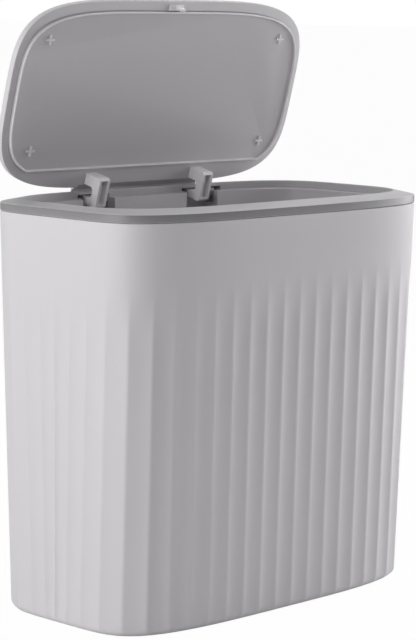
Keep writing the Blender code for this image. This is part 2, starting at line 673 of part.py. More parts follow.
def make_lid_liner(finish, lid_axis):
    """The lid's inner panel: a shallow tray with a raised rib all round and four bosses."""
    around = LID_PLAN.spread(RIM_SAMPLES)

    def tray_ring(inset, height):
        """Ring that follows the liner's edge, straight along the hinge."""
        return ring(LINER_PLAN.points(around, inset, LINER_HINGE_LINE - inset), height)

    tray_top = LID_CEILING - SEAT_GAP
    rib_inside = LINER_RIB_WIDTH + LINER_RIB_ROUNDING
    rings = [
        tray_ring(rib_inside, LINER_PANEL_TOP),
        tray_ring(LINER_RIB_WIDTH, tray_top),
        tray_ring(0, tray_top),
        tray_ring(0, LINER_RIB_BOTTOM + LINER_RIB_ROUNDING),
        tray_ring(LINER_RIB_ROUNDING, LINER_RIB_BOTTOM),
        tray_ring(LINER_RIB_WIDTH - LINER_RIB_ROUNDING, LINER_RIB_BOTTOM),
        tray_ring(LINER_RIB_WIDTH, LINER_RIB_BOTTOM + LINER_RIB_ROUNDING),
        tray_ring(rib_inside, LINER_PANEL_BOTTOM),
    ]
    liner = add_object("lid_liner", skin(rings), finish, HINGE_POINT, lid_axis)

    long_half = BOSS_LENGTH / 2
    slim_half = BOSS_THICKNESS / 2
    middle = (LINER_PANEL_BOTTOM + LINER_PANEL_TOP) / 2
    boss_x_half = LID_PLAN.half_length - BOSS_END_MARGIN
    boss_front = BOSS_FRONT_MARGIN - LID_PLAN.half_front
    boss_back = LID_PLAN.half_back - BOSS_BACK_MARGIN
    for boss_x in (-boss_x_half, boss_x_half):
        for boss_y in (boss_front, boss_back):
            cross = [
                (-slim_half, -long_half), (slim_half, -long_half), (slim_half, -slim_half),
                (long_half, -slim_half), (long_half, slim_half), (slim_half, slim_half),
                (slim_half, long_half), (-slim_half, long_half), (-slim_half, slim_half),
                (-long_half, slim_half), (-long_half, -slim_half), (-slim_half, -slim_half),
            ]
            corners = [(boss_x + x, boss_y + y) for x, y in cross]
            weld(liner, prism(corners, LINER_PANEL_BOTTOM - BOSS_PROUD, middle))
    return liner


def arm_profile():
    """Side view of a hinge arm with the lid shut: head, shank below the ledge, upright and barrel."""
    upright_front = HINGE_Y - BARREL_RADIUS
    upright_back = HINGE_Y + BARREL_RADIUS
    head_top = LIP_HEIGHT - SEAT_GAP
    corners = [
        (ARM_FRONT, head_top),
        (ARM_FRONT, ARM_BOTTOM + ARM_ROUNDING),
        (ARM_FRONT + ARM_ROUNDING, ARM_BOTTOM),
        (upright_back - ARM_ROUNDING, ARM_BOTTOM),
        (upright_back, ARM_BOTTOM + ARM_ROUNDING),
    ]
    barrel_steps = SMALL_SIDES // 2
    for step in range(barrel_steps + 1):
        turn = math.pi * step / barrel_steps
        corners.append((HINGE_Y + BARREL_RADIUS * math.cos(turn), HINGE_Z + BARREL_RADIUS * math.sin(turn)))
    corners += [
        (upright_front, SHANK_TOP + ARM_ROUNDING),
        (upright_front - ARM_ROUNDING, SHANK_TOP),
        (HEAD_BACK + ARM_ROUNDING, SHANK_TOP),
        (HEAD_BACK, SHANK_TOP + ARM_ROUNDING),
        (HEAD_BACK, head_top),
    ]
    return corners


def make_hinge_arm(side, centre, finish, lid_axis):
    """A gooseneck arm that reaches from the lid's lip under the rim to the hinge pin."""
    half = ARM_WIDTH / 2
    mesh = prism(arm_profile(), centre - half, centre + half, "X")
    arm = add_object(f"hinge_arm_{side}", mesh, finish, HINGE_POINT, lid_axis)
    slot_half = SLOT_WIDTH / 2
    slot_front = ARM_FRONT + SLOT_WALL
    cut(arm, block(
        (centre - slot_half, slot_front, ARM_BOTTOM - CUT_OVERRUN),
        (centre + slot_half, SLOT_BACK, ARM_BOTTOM + SLOT_DEPTH),
    ))
    cut(arm, block(
        (centre - slot_half, slot_front, ARM_BOTTOM - CUT_OVERRUN),
        (centre + slot_half, HEAD_BACK - SLOT_WALL, LIP_HEIGHT - SEAT_GAP - HEAD_ROOF),
    ))
    bore = PIN_RADIUS + SEAT_GAP
    ends = (centre - half - CUT_OVERRUN, centre + half + CUT_OVERRUN)
    cut(arm, turned([(bore, ends[0]), (bore, ends[1])], HINGE_POINT, "X", SMALL_SIDES))
    bore = SCREW_RADIUS + SEAT_GAP
    levels = (SHANK_TOP, LIP_HEIGHT + CUT_OVERRUN)
    cut(arm, turned([(bore, levels[0]), (bore, levels[1])], (centre, SCREW_Y, 0), "Z", SMALL_SIDES))
    return arm


def make_arm_screw(side, centre, finish, lid_axis):
    """The screw that holds an arm's head to the lid's lip."""
    seat = LIP_HEIGHT - SEAT_GAP - HEAD_ROOF - SEAT_GAP
    tip = LIP_HEIGHT + SCREW_DEPTH
    profile = [
        (SCREW_HEAD_RADIUS * ROUNDING_SHARES[2], seat - SCREW_HEAD_HEIGHT),
        (SCREW_HEAD_RADIUS, seat - SCREW_HEAD_HEIGHT / 2),
        (SCREW_HEAD_RADIUS, seat),
        (SCREW_RADIUS, seat),
        (SCREW_RADIUS, tip - SCREW_POINT),
        (SCREW_RADIUS / 2, tip),
    ]
    mesh = turned(profile, (centre, SCREW_Y, 0), "Z", SMALL_SIDES)
    return add_object(f"arm_screw_{side}", mesh, finish, HINGE_POINT, lid_axis)


def make_hinge_pin(side, centre, finish):
    """The pin through an arm's barrel, held in both cheeks of its pocket."""
    start = centre - POCKET_INNER_REACH - POCKET_WALL
    end = centre + POCKET_SPRING_REACH + POCKET_WALL
    mesh = turned([(PIN_RADIUS, start), (PIN_RADIUS, end)], HINGE_POINT, "X", SMALL_SIDES)
    return add_object(f"hinge_pin_{side}", mesh, finish)


def tube(name, points, wire, finish):
    """A bent wire along a list of points, as one unbroken tube with closed ends."""
    data = bpy.data.curves.new(name, "CURVE")
    data.dimensions = "3D"
    data.bevel_depth = wire / 2
    data.bevel_resolution = 1
    data.use_fill_caps = True
    spline = data.splines.new("POLY")
    spline.points.add(len(points) - 1)
    for slot, point in zip(spline.points, points):
        slot.co = (*point, 1)
    data.materials.append(finish)
    item = bpy.data.objects.new(name, data)
    bpy.context.scene.collection.objects.link(item)
    return item


def print_least_gap(name, points, wire, points_per_turn):
    """Measure on the points how near the wire comes to itself from one turn to the next."""
    spots = np.array(points)
    apart = np.linalg.norm(spots[:, None] - spots[None, :], axis=2)
    order = np.abs(np.subtract.outer(np.arange(len(spots)), np.arange(len(spots))))
    least = apart[order > points_per_turn // 2].min() - wire
    print(f"{name}: least gap between turns {least * MILLIMETRES_PER_METRE:.2f} mm")


def make_hinge_spring(side, centre, finish):
    """The torsion spring on a hinge pin, drawn with the lid open.

    It starts in a hook behind the arm, winds along the pin and ends in a leg that bears on the
    back of the pocket.
    """
    along = np.array([0, -math.sin(OPEN_ANGLE), -math.cos(OPEN_ANGLE)])
    behind = np.array([0, math.cos(OPEN_ANGLE), -math.sin(OPEN_ANGLE)])
    clearance = SEAT_GAP + SPRING_WIRE / 2
    coil_start = centre + ARM_WIDTH / 2 + clearance
    axis_point = np.array([coil_start, HINGE_Y, HINGE_Z])
    hook = axis_point + along * SPRING_ARM_LEG + behind * (BARREL_RADIUS + clearance)
    points = [hook - np.array([SPRING_HOOK, 0, 0]), hook]

    first_turn = -OPEN_ANGLE
    last_turn = SPRING_FIXED_ANGLE + SPRING_WHOLE_TURNS * 2 * math.pi
    turns = (last_turn - first_turn) / (2 * math.pi)
    for step in range(int(turns * SPRING_POINTS_PER_TURN) + 1):
        share = step / int(turns * SPRING_POINTS_PER_TURN)
        turn = first_turn + (last_turn - first_turn) * share
        points.append(np.array([
            coil_start + turns * SPRING_PITCH * share,
            HINGE_Y + SPRING_RADIUS * math.cos(turn),
            HINGE_Z + SPRING_RADIUS * math.sin(turn),
        ]))
    leave = np.array([0, -math.sin(last_turn), math.cos(last_turn)])
    reach = (POCKET_BACK - clearance - points[-1][1]) / leave[1]
    points.append(points[-1] + leave * reach)
    print_least_gap(f"hinge_spring_{side}", points, SPRING_WIRE, SPRING_POINTS_PER_TURN)
    return tube(f"hinge_spring_{side}", points, SPRING_WIRE, finish)


def make_latch_case(finish):
    """The open-topped case of the push latch, dropped into the rim's bay."""
    half = LATCH_BAY_HALF_LENGTH - SEAT_GAP
    front = LATCH_BAY_FRONT + SEAT_GAP
    back = LATCH_BAY_BACK - SEAT_GAP
    bottom = LATCH_BAY_FLOOR + SEAT_GAP
    mesh = block((-half, front, bottom), (half, back, LATCH_BAY_TOP - SEAT_GAP))
    case = add_object("latch_case", mesh, finish)
    cut(case, block(
        (-half + LATCH_CASE_WALL, front + LATCH_CASE_WALL, bottom + LATCH_CASE_WALL),
        (half - LATCH_CASE_WALL, back - LATCH_CASE_WALL, LATCH_BAY_TOP + CUT_OVERRUN),
    ))
    return case


def latch_room():
    """Half length, front and back of the case's inside, and its floor."""
    wall = SEAT_GAP + LATCH_CASE_WALL
    return (
        LATCH_BAY_HALF_LENGTH - wall,
        LATCH_BAY_FRONT + wall,
        LATCH_BAY_BACK - wall,
        LATCH_BAY_FLOOR + wall,
    )


def make_latch_plunger(finish):
    """The sliding jaws that take the striker between them."""
    half, front, back, _ = latch_room()
    middle = Vector((0, (front + back) / 2, PLUNGER_BOTTOM))
    mesh = block(
        (-half + SEAT_GAP, front + SEAT_GAP, PLUNGER_BOTTOM),
        (half - SEAT_GAP, back - SEAT_GAP, PLUNGER_TOP),
    )
    plunger = add_object("latch_plunger", mesh, finish)
    slot_half = PLUNGER_SLOT_WIDTH / 2
    cut(plunger, block(
        (-slot_half, front - CUT_OVERRUN, PLUNGER_SLOT_FLOOR),
        (slot_half, back + CUT_OVERRUN, PLUNGER_TOP + CUT_OVERRUN),
    ))
    embedded = (PLUNGER_SLOT_FLOOR - PLUNGER_BOTTOM) / 2
    profile = [(PLUNGER_PEG_RADIUS, -PLUNGER_PEG_LENGTH), (PLUNGER_PEG_RADIUS, embedded)]
    weld(plunger, turned(profile, middle, "Z", SMALL_SIDES))
    return plunger


def make_latch_spring(finish):
    """The small compression spring under the jaws."""
    _, front, back, floor = latch_room()
    middle_y = (front + back) / 2
    low = floor + SEAT_GAP + LATCH_SPRING_WIRE / 2
    high = PLUNGER_BOTTOM - SEAT_GAP - LATCH_SPRING_WIRE / 2
    steps = LATCH_SPRING_TURNS * LATCH_SPRING_POINTS_PER_TURN
    points = []
    for step in range(steps + 1):
        turn = 2 * math.pi * step / LATCH_SPRING_POINTS_PER_TURN
        points.append((
            LATCH_SPRING_RADIUS * math.cos(turn),
            middle_y + LATCH_SPRING_RADIUS * math.sin(turn),
            low + (high - low) * step / steps,
        ))
    print_least_gap("latch_spring", points, LATCH_SPRING_WIRE, LATCH_SPRING_POINTS_PER_TURN)
    return tube("latch_spring", points, LATCH_SPRING_WIRE, finish)


def make_latch_striker(finish, lid_axis):
    """The barbed tongue under the lid that the latch catches."""
    base_top = LIP_HEIGHT - SEAT_GAP
    base_bottom = base_top - STRIKER_BASE_THICKNESS
    neck = STRIKER_NECK_LENGTH / 2
    head = STRIKER_HEAD_LENGTH / 2
    base = STRIKER_BASE_LENGTH / 2
    outline = [
        (-neck / 2, STRIKER_BOTTOM), (neck / 2, STRIKER_BOTTOM),
        (head, STRIKER_BOTTOM + STRIKER_BARB_HEIGHT / 2), (head, STRIKER_BOTTOM + STRIKER_BARB_HEIGHT),
        (neck, STRIKER_BOTTOM + STRIKER_BARB_HEIGHT), (neck, base_bottom + SEAT_GAP),
        (-neck, base_bottom + SEAT_GAP), (-neck, STRIKER_BOTTOM + STRIKER_BARB_HEIGHT),
        (-head, STRIKER_BOTTOM + STRIKER_BARB_HEIGHT), (-head, STRIKER_BOTTOM + STRIKER_BARB_HEIGHT / 2),
    ]
    depth = STRIKER_BASE_DEPTH / 2
    mesh = block((-base, LATCH_Y - depth, base_bottom), (base, LATCH_Y + depth, base_top))
    striker = add_object("latch_striker", mesh, finish, HINGE_POINT, lid_axis)
    weld(striker, prism(outline, LATCH_Y - STRIKER_DEPTH / 2, LATCH_Y + STRIKER_DEPTH / 2, "Y"))
    for side in (-1, 1):
        peg_top = LIP_HEIGHT + STRIKER_PEG_LENGTH - SEAT_GAP
        profile = [(STRIKER_PEG_RADIUS, (base_bottom + base_top) / 2), (STRIKER_PEG_RADIUS, peg_top)]
        weld(striker, turned(profile, (side * STRIKER_PEG_OFFSET, LATCH_Y, 0), "Z", SMALL_SIDES))
    return striker


def main():
    """Build every piece, with the lid swung open on its axis."""
    clear_scene()
    shell_grey = make_material("shell_grey", (0.55, 0.55, 0.56), 0.55)
    rim_grey = make_material("rim_grey", (0.26, 0.26, 0.27), 0.5)
    lid_grey = make_material("lid_grey", (0.31, 0.31, 0.32), 0.45)
    light_grey = make_material("light_grey", (0.50, 0.50, 0.51), 0.45)
    steel = make_material("steel", (0.62, 0.62, 0.64), 0.3, 1.0)
    zinc = make_material("zinc", (0.70, 0.70, 0.72), 0.35, 1.0)

    lid_axis = bpy.data.objects.new("lid_axis", None)
    bpy.context.scene.collection.objects.link(lid_axis)
    lid_axis.location = HINGE_POINT
    lid_axis.rotation_euler = (-OPEN_ANGLE, 0, 0)

    make_body(shell_grey)
    make_wall_plate(light_grey)
    make_rim(rim_grey)
    make_lid_cover(lid_grey, lid_axis)
    make_lid_liner(lid_grey, lid_axis)
    for side, centre in hinge_centres().items():
        make_hinge_arm(side, centre, light_grey, lid_axis)
        make_arm_screw(side, centre, zinc, lid_axis)
        make_hinge_pin(side, centre, steel)
        make_hinge_spring(side, centre, steel)
    make_latch_case(light_grey)
    make_latch_plunger(light_grey)
    make_latch_spring(steel)
    make_latch_striker(light_grey, lid_axis)


main()
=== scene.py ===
"""Dress the slim fluted bin: fine moulded surfaces, torsion springs shaped for the open lid, and a studio.
"""

import logging
import math
from dataclasses import dataclass, field
from enum import Enum
from functools import cached_property
from typing import Optional, Sequence, Union

import bmesh
import bpy
import numpy as np
from mathutils import Matrix, Vector


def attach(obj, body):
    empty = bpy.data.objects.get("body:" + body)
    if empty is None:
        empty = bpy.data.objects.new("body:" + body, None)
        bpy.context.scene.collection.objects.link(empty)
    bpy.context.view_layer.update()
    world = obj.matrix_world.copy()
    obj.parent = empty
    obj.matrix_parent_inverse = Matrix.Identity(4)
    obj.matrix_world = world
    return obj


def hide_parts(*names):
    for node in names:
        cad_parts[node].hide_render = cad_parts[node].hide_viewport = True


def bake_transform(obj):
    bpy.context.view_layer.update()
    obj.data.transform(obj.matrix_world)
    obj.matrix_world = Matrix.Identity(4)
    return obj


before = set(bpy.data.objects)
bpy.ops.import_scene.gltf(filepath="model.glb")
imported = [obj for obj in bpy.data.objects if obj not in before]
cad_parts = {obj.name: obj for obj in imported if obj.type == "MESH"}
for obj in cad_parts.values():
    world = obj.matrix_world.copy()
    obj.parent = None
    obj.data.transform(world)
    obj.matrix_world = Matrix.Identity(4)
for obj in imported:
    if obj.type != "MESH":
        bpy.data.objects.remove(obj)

LOG = logging.getLogger("bin_scene")
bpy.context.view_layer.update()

Corner = tuple[float, float, float]
Colour = tuple[float, float, float]
Outline = Sequence[tuple[float, float]]
Item = bpy.types.Object
Mesh = bpy.types.Mesh
Plug = bpy.types.NodeSocket
Ring = np.ndarray

# Hairline gap that touching pieces keep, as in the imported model
SEAT_GAP = 0.0003
# How far a cutting solid reaches past what it cuts
CUT_OVERRUN = 0.004
# Steps for each quarter of the table that spaces points evenly along an outline
TABLE_STEPS = 4096
# Below this length of their cross product two unit vectors count as nearly parallel
NEARLY_PARALLEL = 0.1
# Bevels round only the edges that are sharper than this
BEVEL_FROM = math.radians(35)


class Body(Enum):
    """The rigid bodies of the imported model."""

    BIN = "bin"
    RIM = "rim"
    LID = "lid"
    LATCH = "latch"
    PLATE = "wall_plate"


class Axis(Enum):
    """The direction in which a profile is turned or drawn out."""

    X = (1, 2, 0)
    Z = (0, 1, 2)

    def place(self, across: float, up: float, along: float) -> Corner:
        """Put two cross values and one level where they belong in X, Y and Z.

        Args:
            across: First value across the axis.
            up: Second value across the axis.
            along: Level along the axis.

        Returns:
            The corner.
        """
        corner = [0.0, 0.0, 0.0]
        corner[self.value[0]] = across
        corner[self.value[1]] = up
        corner[self.value[2]] = along
        return tuple(corner)


class Change(Enum):
    """What a helper solid does to the piece that it meets."""

    WELD = "UNION"
    CUT = "DIFFERENCE"


class Crease(Enum):
    """Angle in degrees above which an edge stays sharp, for each kind of surface."""

    MOULDING = 32
    CUT_PIECE = 35
    WALL = 40
    WIRE = 50


@dataclass(frozen=True)
class Plan:
    """A rounded plan outline, |x/a|^p + |y/b|^q = 1, with its own depth to the front and back."""

    half_length: float
    half_front: float
    half_back: float
    power_x: float
    power_y: float

    def points(self, angles: np.ndarray, inset: float = 0.0, back_line: Optional[float] = None) -> Ring:
        """Points of the outline.

        Args:
            angles: Parameter of each point, from -90 degrees at the front middle.
            inset: How far the points are moved inward, one value or one for each point.
            back_line: Where the outline is cut straight at the back, if it is.

        Returns:
            One (x, y) row for each angle.
        """
        cosine, sine = np.cos(angles), np.sin(angles)
        half_y = np.where(sine < 0, self.half_front, self.half_back)
        x = self.half_length * np.sign(cosine) * np.abs(cosine) ** (2 / self.power_x)
        y = half_y * np.sign(sine) * np.abs(sine) ** (2 / self.power_y)
        slope_x = np.sign(x) * self.power_x * (np.abs(x) / self.half_length) ** (self.power_x - 1)
        slope_y = np.sign(y) * self.power_y * (np.abs(y) / half_y) ** (self.power_y - 1)
        slope_x, slope_y = slope_x / self.half_length, slope_y / half_y
        steepness = np.hypot(slope_x, slope_y)
        x = x - inset * slope_x / steepness
        y = y - inset * slope_y / steepness
        if back_line is not None:
            y = np.minimum(y, back_line)
        return np.column_stack([x, y])

    def spread(self, count: int) -> np.ndarray:
        """Angles of points at equal steps along the outline.

        Args:
            count: Number of points.

        Returns:
            The angles, from the front middle on.
        """
        steps = np.linspace(0, 1, TABLE_STEPS)
        quarter = (steps * steps * (3 - 2 * steps)) * math.pi / 2
        table = np.concatenate([quarter[:-1] + turn * math.pi / 2 for turn in range(4)])
        table = np.append(table, 2 * math.pi) - math.pi / 2
        lengths = np.hypot(*np.diff(self.points(table), axis=0).T)
        run = np.concatenate([[0], np.cumsum(lengths)])
        return np.interp(np.arange(count) / count * run[-1], run, table)


def level(outline: Ring, height: float) -> Ring:
    """Lift a flat outline to a height."""
    return np.column_stack([outline, np.full(len(outline), height)])


def quarter_round(radius: float, steps: int) -> list[tuple[float, float]]:
    """Steps of a quarter round that starts level and ends upright.

    Args:
        radius: Radius of the rounding.
        steps: Number of facets.

    Returns:
        (inward, upward) pairs.
    """
    turns = [step / steps * math.pi / 2 for step in range(steps + 1)]
    return [(radius * (1 - math.sin(turn)), radius * (1 - math.cos(turn))) for turn in turns]


class MeshTools:
    """Makes meshes from rings, outlines and profiles, and cuts and welds them."""

    @staticmethod
    def skin(rings: Sequence[Ring], closed: bool = False) -> Mesh:
        """Loft rings that have equal numbers of corners.

        Args:
            rings: The rings in order.
            closed: Whether the last ring joins the first; otherwise both are filled.

        Returns:
            A mesh whose faces point outward.
        """
        count = len(rings[0])
        corners = np.vstack(rings)
        faces = []
        pairs = list(zip(range(len(rings)), range(1, len(rings))))
        if closed:
            pairs.append((len(rings) - 1, 0))
        for first, second in pairs:
            for index in range(count):
                after = (index + 1) % count
                faces.append((
                    first * count + index, first * count + after,
                    second * count + after, second * count + index,
                ))
        if not closed:
            faces.append(tuple(range(count)))
            faces.append(tuple((len(rings) - 1) * count + index for index in range(count)))
        mesh = bpy.data.meshes.new("loft")
        mesh.from_pydata([tuple(corner) for corner in corners], [], faces)
        shape = bmesh.new()
        shape.from_mesh(mesh)
        bmesh.ops.recalc_face_normals(shape, faces=shape.faces)
        shape.to_mesh(mesh)
        shape.free()
        return mesh

    @classmethod
    def prism(cls, outline: Outline, start: float, end: float, axis: Axis) -> Mesh:
        """Draw an outline out along an axis."""
        rings = [np.array([axis.place(u, v, along) for u, v in outline]) for along in (start, end)]
        return cls.skin(rings)

    @classmethod
    def block(cls, low: Corner, high: Corner) -> Mesh:
        """Box between two opposite corners."""
        outline = [(low[0], low[1]), (high[0], low[1]), (high[0], high[1]), (low[0], high[1])]
        return cls.prism(outline, low[2], high[2], Axis.Z)

    @classmethod
    def turned(cls, profile: Outline, middle: Corner, axis: Axis, sides: int) -> Mesh:
        """Turn a profile about an axis.

        Args:
            profile: (radius, level) corners.
            middle: A point on the axis.
            axis: Direction of the axis.
            sides: Number of facets round it.

        Returns:
            The closed solid.
        """
        turns = np.arange(sides) * 2 * math.pi / sides
        rings = []
        for radius, along in profile:
            circle = [(radius * math.cos(turn), radius * math.sin(turn)) for turn in turns]
            rings.append(np.array([axis.place(u, v, along) for u, v in circle]) + np.array(middle))
        return cls.skin(rings)

    @classmethod
    def cross(
        cls, middle: tuple[float, float], size: tuple[float, float], low: float, high: float,
    ) -> list[Mesh]:
        """Two upright bars that cross at right angles.

        Args:
            middle: X and Y of the crossing.
            size: Length and width of each bar.
            low: Level of the bars' underside.
            high: Level of their top.

        Returns:
            The two bars.
        """
        (x, y), long_half, slim_half = middle, size[0] / 2, size[1] / 2
        reaches = ((long_half, slim_half), (slim_half, long_half))
        return [cls.block((x - dx, y - dy, low), (x + dx, y + dy, high)) for dx, dy in reaches]

    @staticmethod
    def tube(points: Sequence[np.ndarray], radius: float, sides: int) -> Mesh:
        """Sweep a round wire along points, carrying its frame without twist.

        Args:
            points: The wire's centre line.
            radius: Radius of the wire.
            sides: Number of facets round it.

        Returns:
            The closed tube.
        """
        path = np.array(points, float)
        ways = np.gradient(path, axis=0)
        ways /= np.linalg.norm(ways, axis=1)[:, None]
        side = np.cross(ways[0], (0.0, 0.0, 1.0))
        if np.linalg.norm(side) < NEARLY_PARALLEL:
            side = np.cross(ways[0], (0.0, 1.0, 0.0))
        turns = np.arange(sides) * 2 * math.pi / sides
        rings = []
        for spot, way in zip(path, ways):
            side = side - way * np.dot(side, way)
            side /= np.linalg.norm(side)
            other = np.cross(way, side)
            rings.append(spot + radius * (np.outer(np.cos(turns), side) + np.outer(np.sin(turns), other)))
        return MeshTools.skin(rings)

    @staticmethod
    def add(name: str, mesh: Mesh) -> Item:
        """Put a mesh into the scene as a named object.

        Args:
            name: Name of the object and of its mesh.
            mesh: The mesh.

        Returns:
            The new object.
        """
        mesh.name = name
        item = bpy.data.objects.new(name, mesh)
        bpy.context.scene.collection.objects.link(item)
        return item

    @classmethod
    def carve(cls, item: Item, changes: Sequence[tuple[Change, Mesh]]) -> None:
        """Weld meshes onto an object or cut them out of it, and keep the result as its mesh.

        Args:
            item: The object to change.
            changes: What to do with which mesh, in order.
        """
        helpers = []
        for number, (change, mesh) in enumerate(changes):
            helper = cls.add(f"{item.name}_helper_{number}", mesh)
            step = item.modifiers.new(f"step_{number}", "BOOLEAN")
            step.operation = change.value
            step.solver = "EXACT"
            step.object = helper
            helpers.append(helper)
        cls.keep_modified(item)
        for helper in helpers:
            bpy.data.objects.remove(helper, do_unlink=True)

    @staticmethod
    def keep_modified(item: Item) -> None:
        """Replace an object's mesh by what its modifiers make of it.

        Args:
            item: The object, which loses its modifiers.
        """
        graph = bpy.context.evaluated_depsgraph_get()
        mesh = bpy.data.meshes.new_from_object(item.evaluated_get(graph))
        item.modifiers.clear()
        old = item.data
        item.data = mesh
        bpy.data.meshes.remove(old)

    @staticmethod
    def smooth(item: Item, crease: Crease) -> None:
        """Shade an object smooth but for its sharp edges."""
        item.data.shade_smooth()
        item.data.set_sharp_from_angle(angle=math.radians(crease.value))

    @staticmethod
    def soften(item: Item, width: float) -> None:
        """Round an object's edges with a bevel.

        Args:
            item: The object.
            width: Width of the bevel.
        """
        bevel = item.modifiers.new("edge_rounding", "BEVEL")
        bevel.width = width
        bevel.segments = 2
        bevel.limit_method = "ANGLE"
        bevel.angle_limit = BEVEL_FROM
        bevel.harden_normals = False


class Kind(Enum):
    """What a socket of a shader group carries, with the Mix node's word for it."""

    NUMBER = ("NodeSocketFloat", "FLOAT")
    COLOUR = ("NodeSocketColor", "RGBA")
    VECTOR = ("NodeSocketVector", "VECTOR")


class ShaderGroup:
    """A shader node group with named inputs and outputs, and the wiring that such groups repeat."""

    def __init__(self, name: str, given: dict[str, tuple[Kind, object]], results: dict[str, Kind]) -> None:
        """Open a new group.

        Args:
            name: The group's name.
            given: Kind and starting value of each input.
            results: Kind of each output.
        """
        self.tree = bpy.data.node_groups.new(name, "ShaderNodeTree")
        for label, (kind, value) in given.items():
            socket = self.tree.interface.new_socket(name=label, in_out="INPUT", socket_type=kind.value[0])
            socket.default_value = value
        for label, kind in results.items():
            self.tree.interface.new_socket(name=label, in_out="OUTPUT", socket_type=kind.value[0])
        self.nodes = self.tree.nodes
        self.given = self.nodes.new("NodeGroupInput").outputs
        self.result = self.nodes.new("NodeGroupOutput").inputs

    def link(self, source: Plug, target: Plug) -> None:
        """Join an output to an input."""
        self.tree.links.new(source, target)

    def surface_place(self) -> Plug:
        """Place on the object, in metres."""
        return self.nodes.new("ShaderNodeTexCoord").outputs["Object"]

    def noise(self, place: Plug, scale: Union[Plug, float], detail: float, roughness: float = 0.5) -> Plug:
        """Noise over the surface.

        Args:
            place: Where on the surface.
            scale: Its scale, a socket or a number.
            detail: Its number of finer layers.
            roughness: How strong the finer layers are.

        Returns:
            The noise's socket.
        """
        noise = self.nodes.new("ShaderNodeTexNoise")
        noise.inputs["Detail"].default_value = detail
        noise.inputs["Roughness"].default_value = roughness
        self.link(place, noise.inputs["Vector"])
        if isinstance(scale, float):
            noise.inputs["Scale"].default_value = scale
        else:
            self.link(scale, noise.inputs["Scale"])
        return noise.outputs["Fac"]

    def blend(self, kind: Kind, share: Plug, low: str, high: str, result: str) -> None:
        """Give out a mix of two inputs.

        Args:
            kind: What is mixed.
            share: The second input's share.
            low: Name of the first input.
            high: Name of the second input.
            result: Name of the output.
        """
        mix = self.nodes.new("ShaderNodeMix")
        mix.data_type = kind.value[1]
        self.link(share, mix.inputs["Factor"])
        self.link(self.given[low], mix.inputs["A"])
        self.link(self.given[high], mix.inputs["B"])
        self.link(mix.outputs["Result"], self.result[result])


class ShaderKit:
    """The shader node groups that several finishes share, each built once."""

    @cached_property
    def mould_grain(self) -> bpy.types.NodeTree:
        """Fine spark-eroded grain of a mould, with slow drift in tone and gloss.

        Returns:
            The group, with Colour, Roughness and Height outputs.
        """
        group = ShaderGroup("mould_grain", {
            "Colour": (Kind.COLOUR, (0.5, 0.5, 0.5, 1)), "Shade": (Kind.COLOUR, (0.45, 0.45, 0.45, 1)),
            "Grain Scale": (Kind.NUMBER, 1800.0), "Drift Scale": (Kind.NUMBER, 14.0),
            "Gloss Low": (Kind.NUMBER, 0.4), "Gloss High": (Kind.NUMBER, 0.55),
        }, {"Colour": Kind.COLOUR, "Roughness": Kind.NUMBER, "Height": Kind.NUMBER})
        place = group.surface_place()
        group.link(group.noise(place, group.given["Grain Scale"], detail=3), group.result["Height"])
        drift = group.noise(place, group.given["Drift Scale"], detail=4, roughness=0.55)
        group.blend(Kind.COLOUR, drift, "Colour", "Shade", "Colour")
        group.blend(Kind.NUMBER, drift, "Gloss Low", "Gloss High", "Roughness")
        return group.tree

    @cached_property
    def edge_highlight(self) -> bpy.types.NodeTree:
        """Painted highlight: edges, found by the mesh's pointiness, get a lighter colour where light would
        catch them.

        Returns:
            The group, with a Colour output.
        """
        group = ShaderGroup("edge_highlight", {
            "Colour": (Kind.COLOUR, (0.5, 0.5, 0.5, 1)), "Highlight Colour": (Kind.COLOUR, (0.6, 0.6, 0.6, 1)),
            "Edge From": (Kind.NUMBER, 0.52), "Edge To": (Kind.NUMBER, 0.6),
        }, {"Colour": Kind.COLOUR})
        edges = group.nodes.new("ShaderNodeMapRange")
        group.link(group.nodes.new("ShaderNodeNewGeometry").outputs["Pointiness"], edges.inputs["Value"])
        group.link(group.given["Edge From"], edges.inputs["From Min"])
        group.link(group.given["Edge To"], edges.inputs["From Max"])
        group.blend(Kind.COLOUR, edges.outputs["Result"], "Colour", "Highlight Colour", "Colour")
        return group.tree

    @cached_property
    def drawn_streaks(self) -> bpy.types.NodeTree:
        """Fine lines that drawing or turning leaves along a metal surface.

        Returns:
            The group, with Roughness and Height outputs.
        """
        group = ShaderGroup("drawn_streaks", {
            "Stretch": (Kind.VECTOR, (20.0, 900.0, 900.0)),
            "Gloss Low": (Kind.NUMBER, 0.2), "Gloss High": (Kind.NUMBER, 0.4),
        }, {"Roughness": Kind.NUMBER, "Height": Kind.NUMBER})
        stretch = group.nodes.new("ShaderNodeVectorMath")
        stretch.operation = "MULTIPLY"
        group.link(group.surface_place(), stretch.inputs[0])
        group.link(group.given["Stretch"], stretch.inputs[1])
        lines = group.noise(stretch.outputs["Vector"], 1.0, detail=2)
        group.link(lines, group.result["Height"])
        group.blend(Kind.NUMBER, lines, "Gloss Low", "Gloss High", "Roughness")
        return group.tree


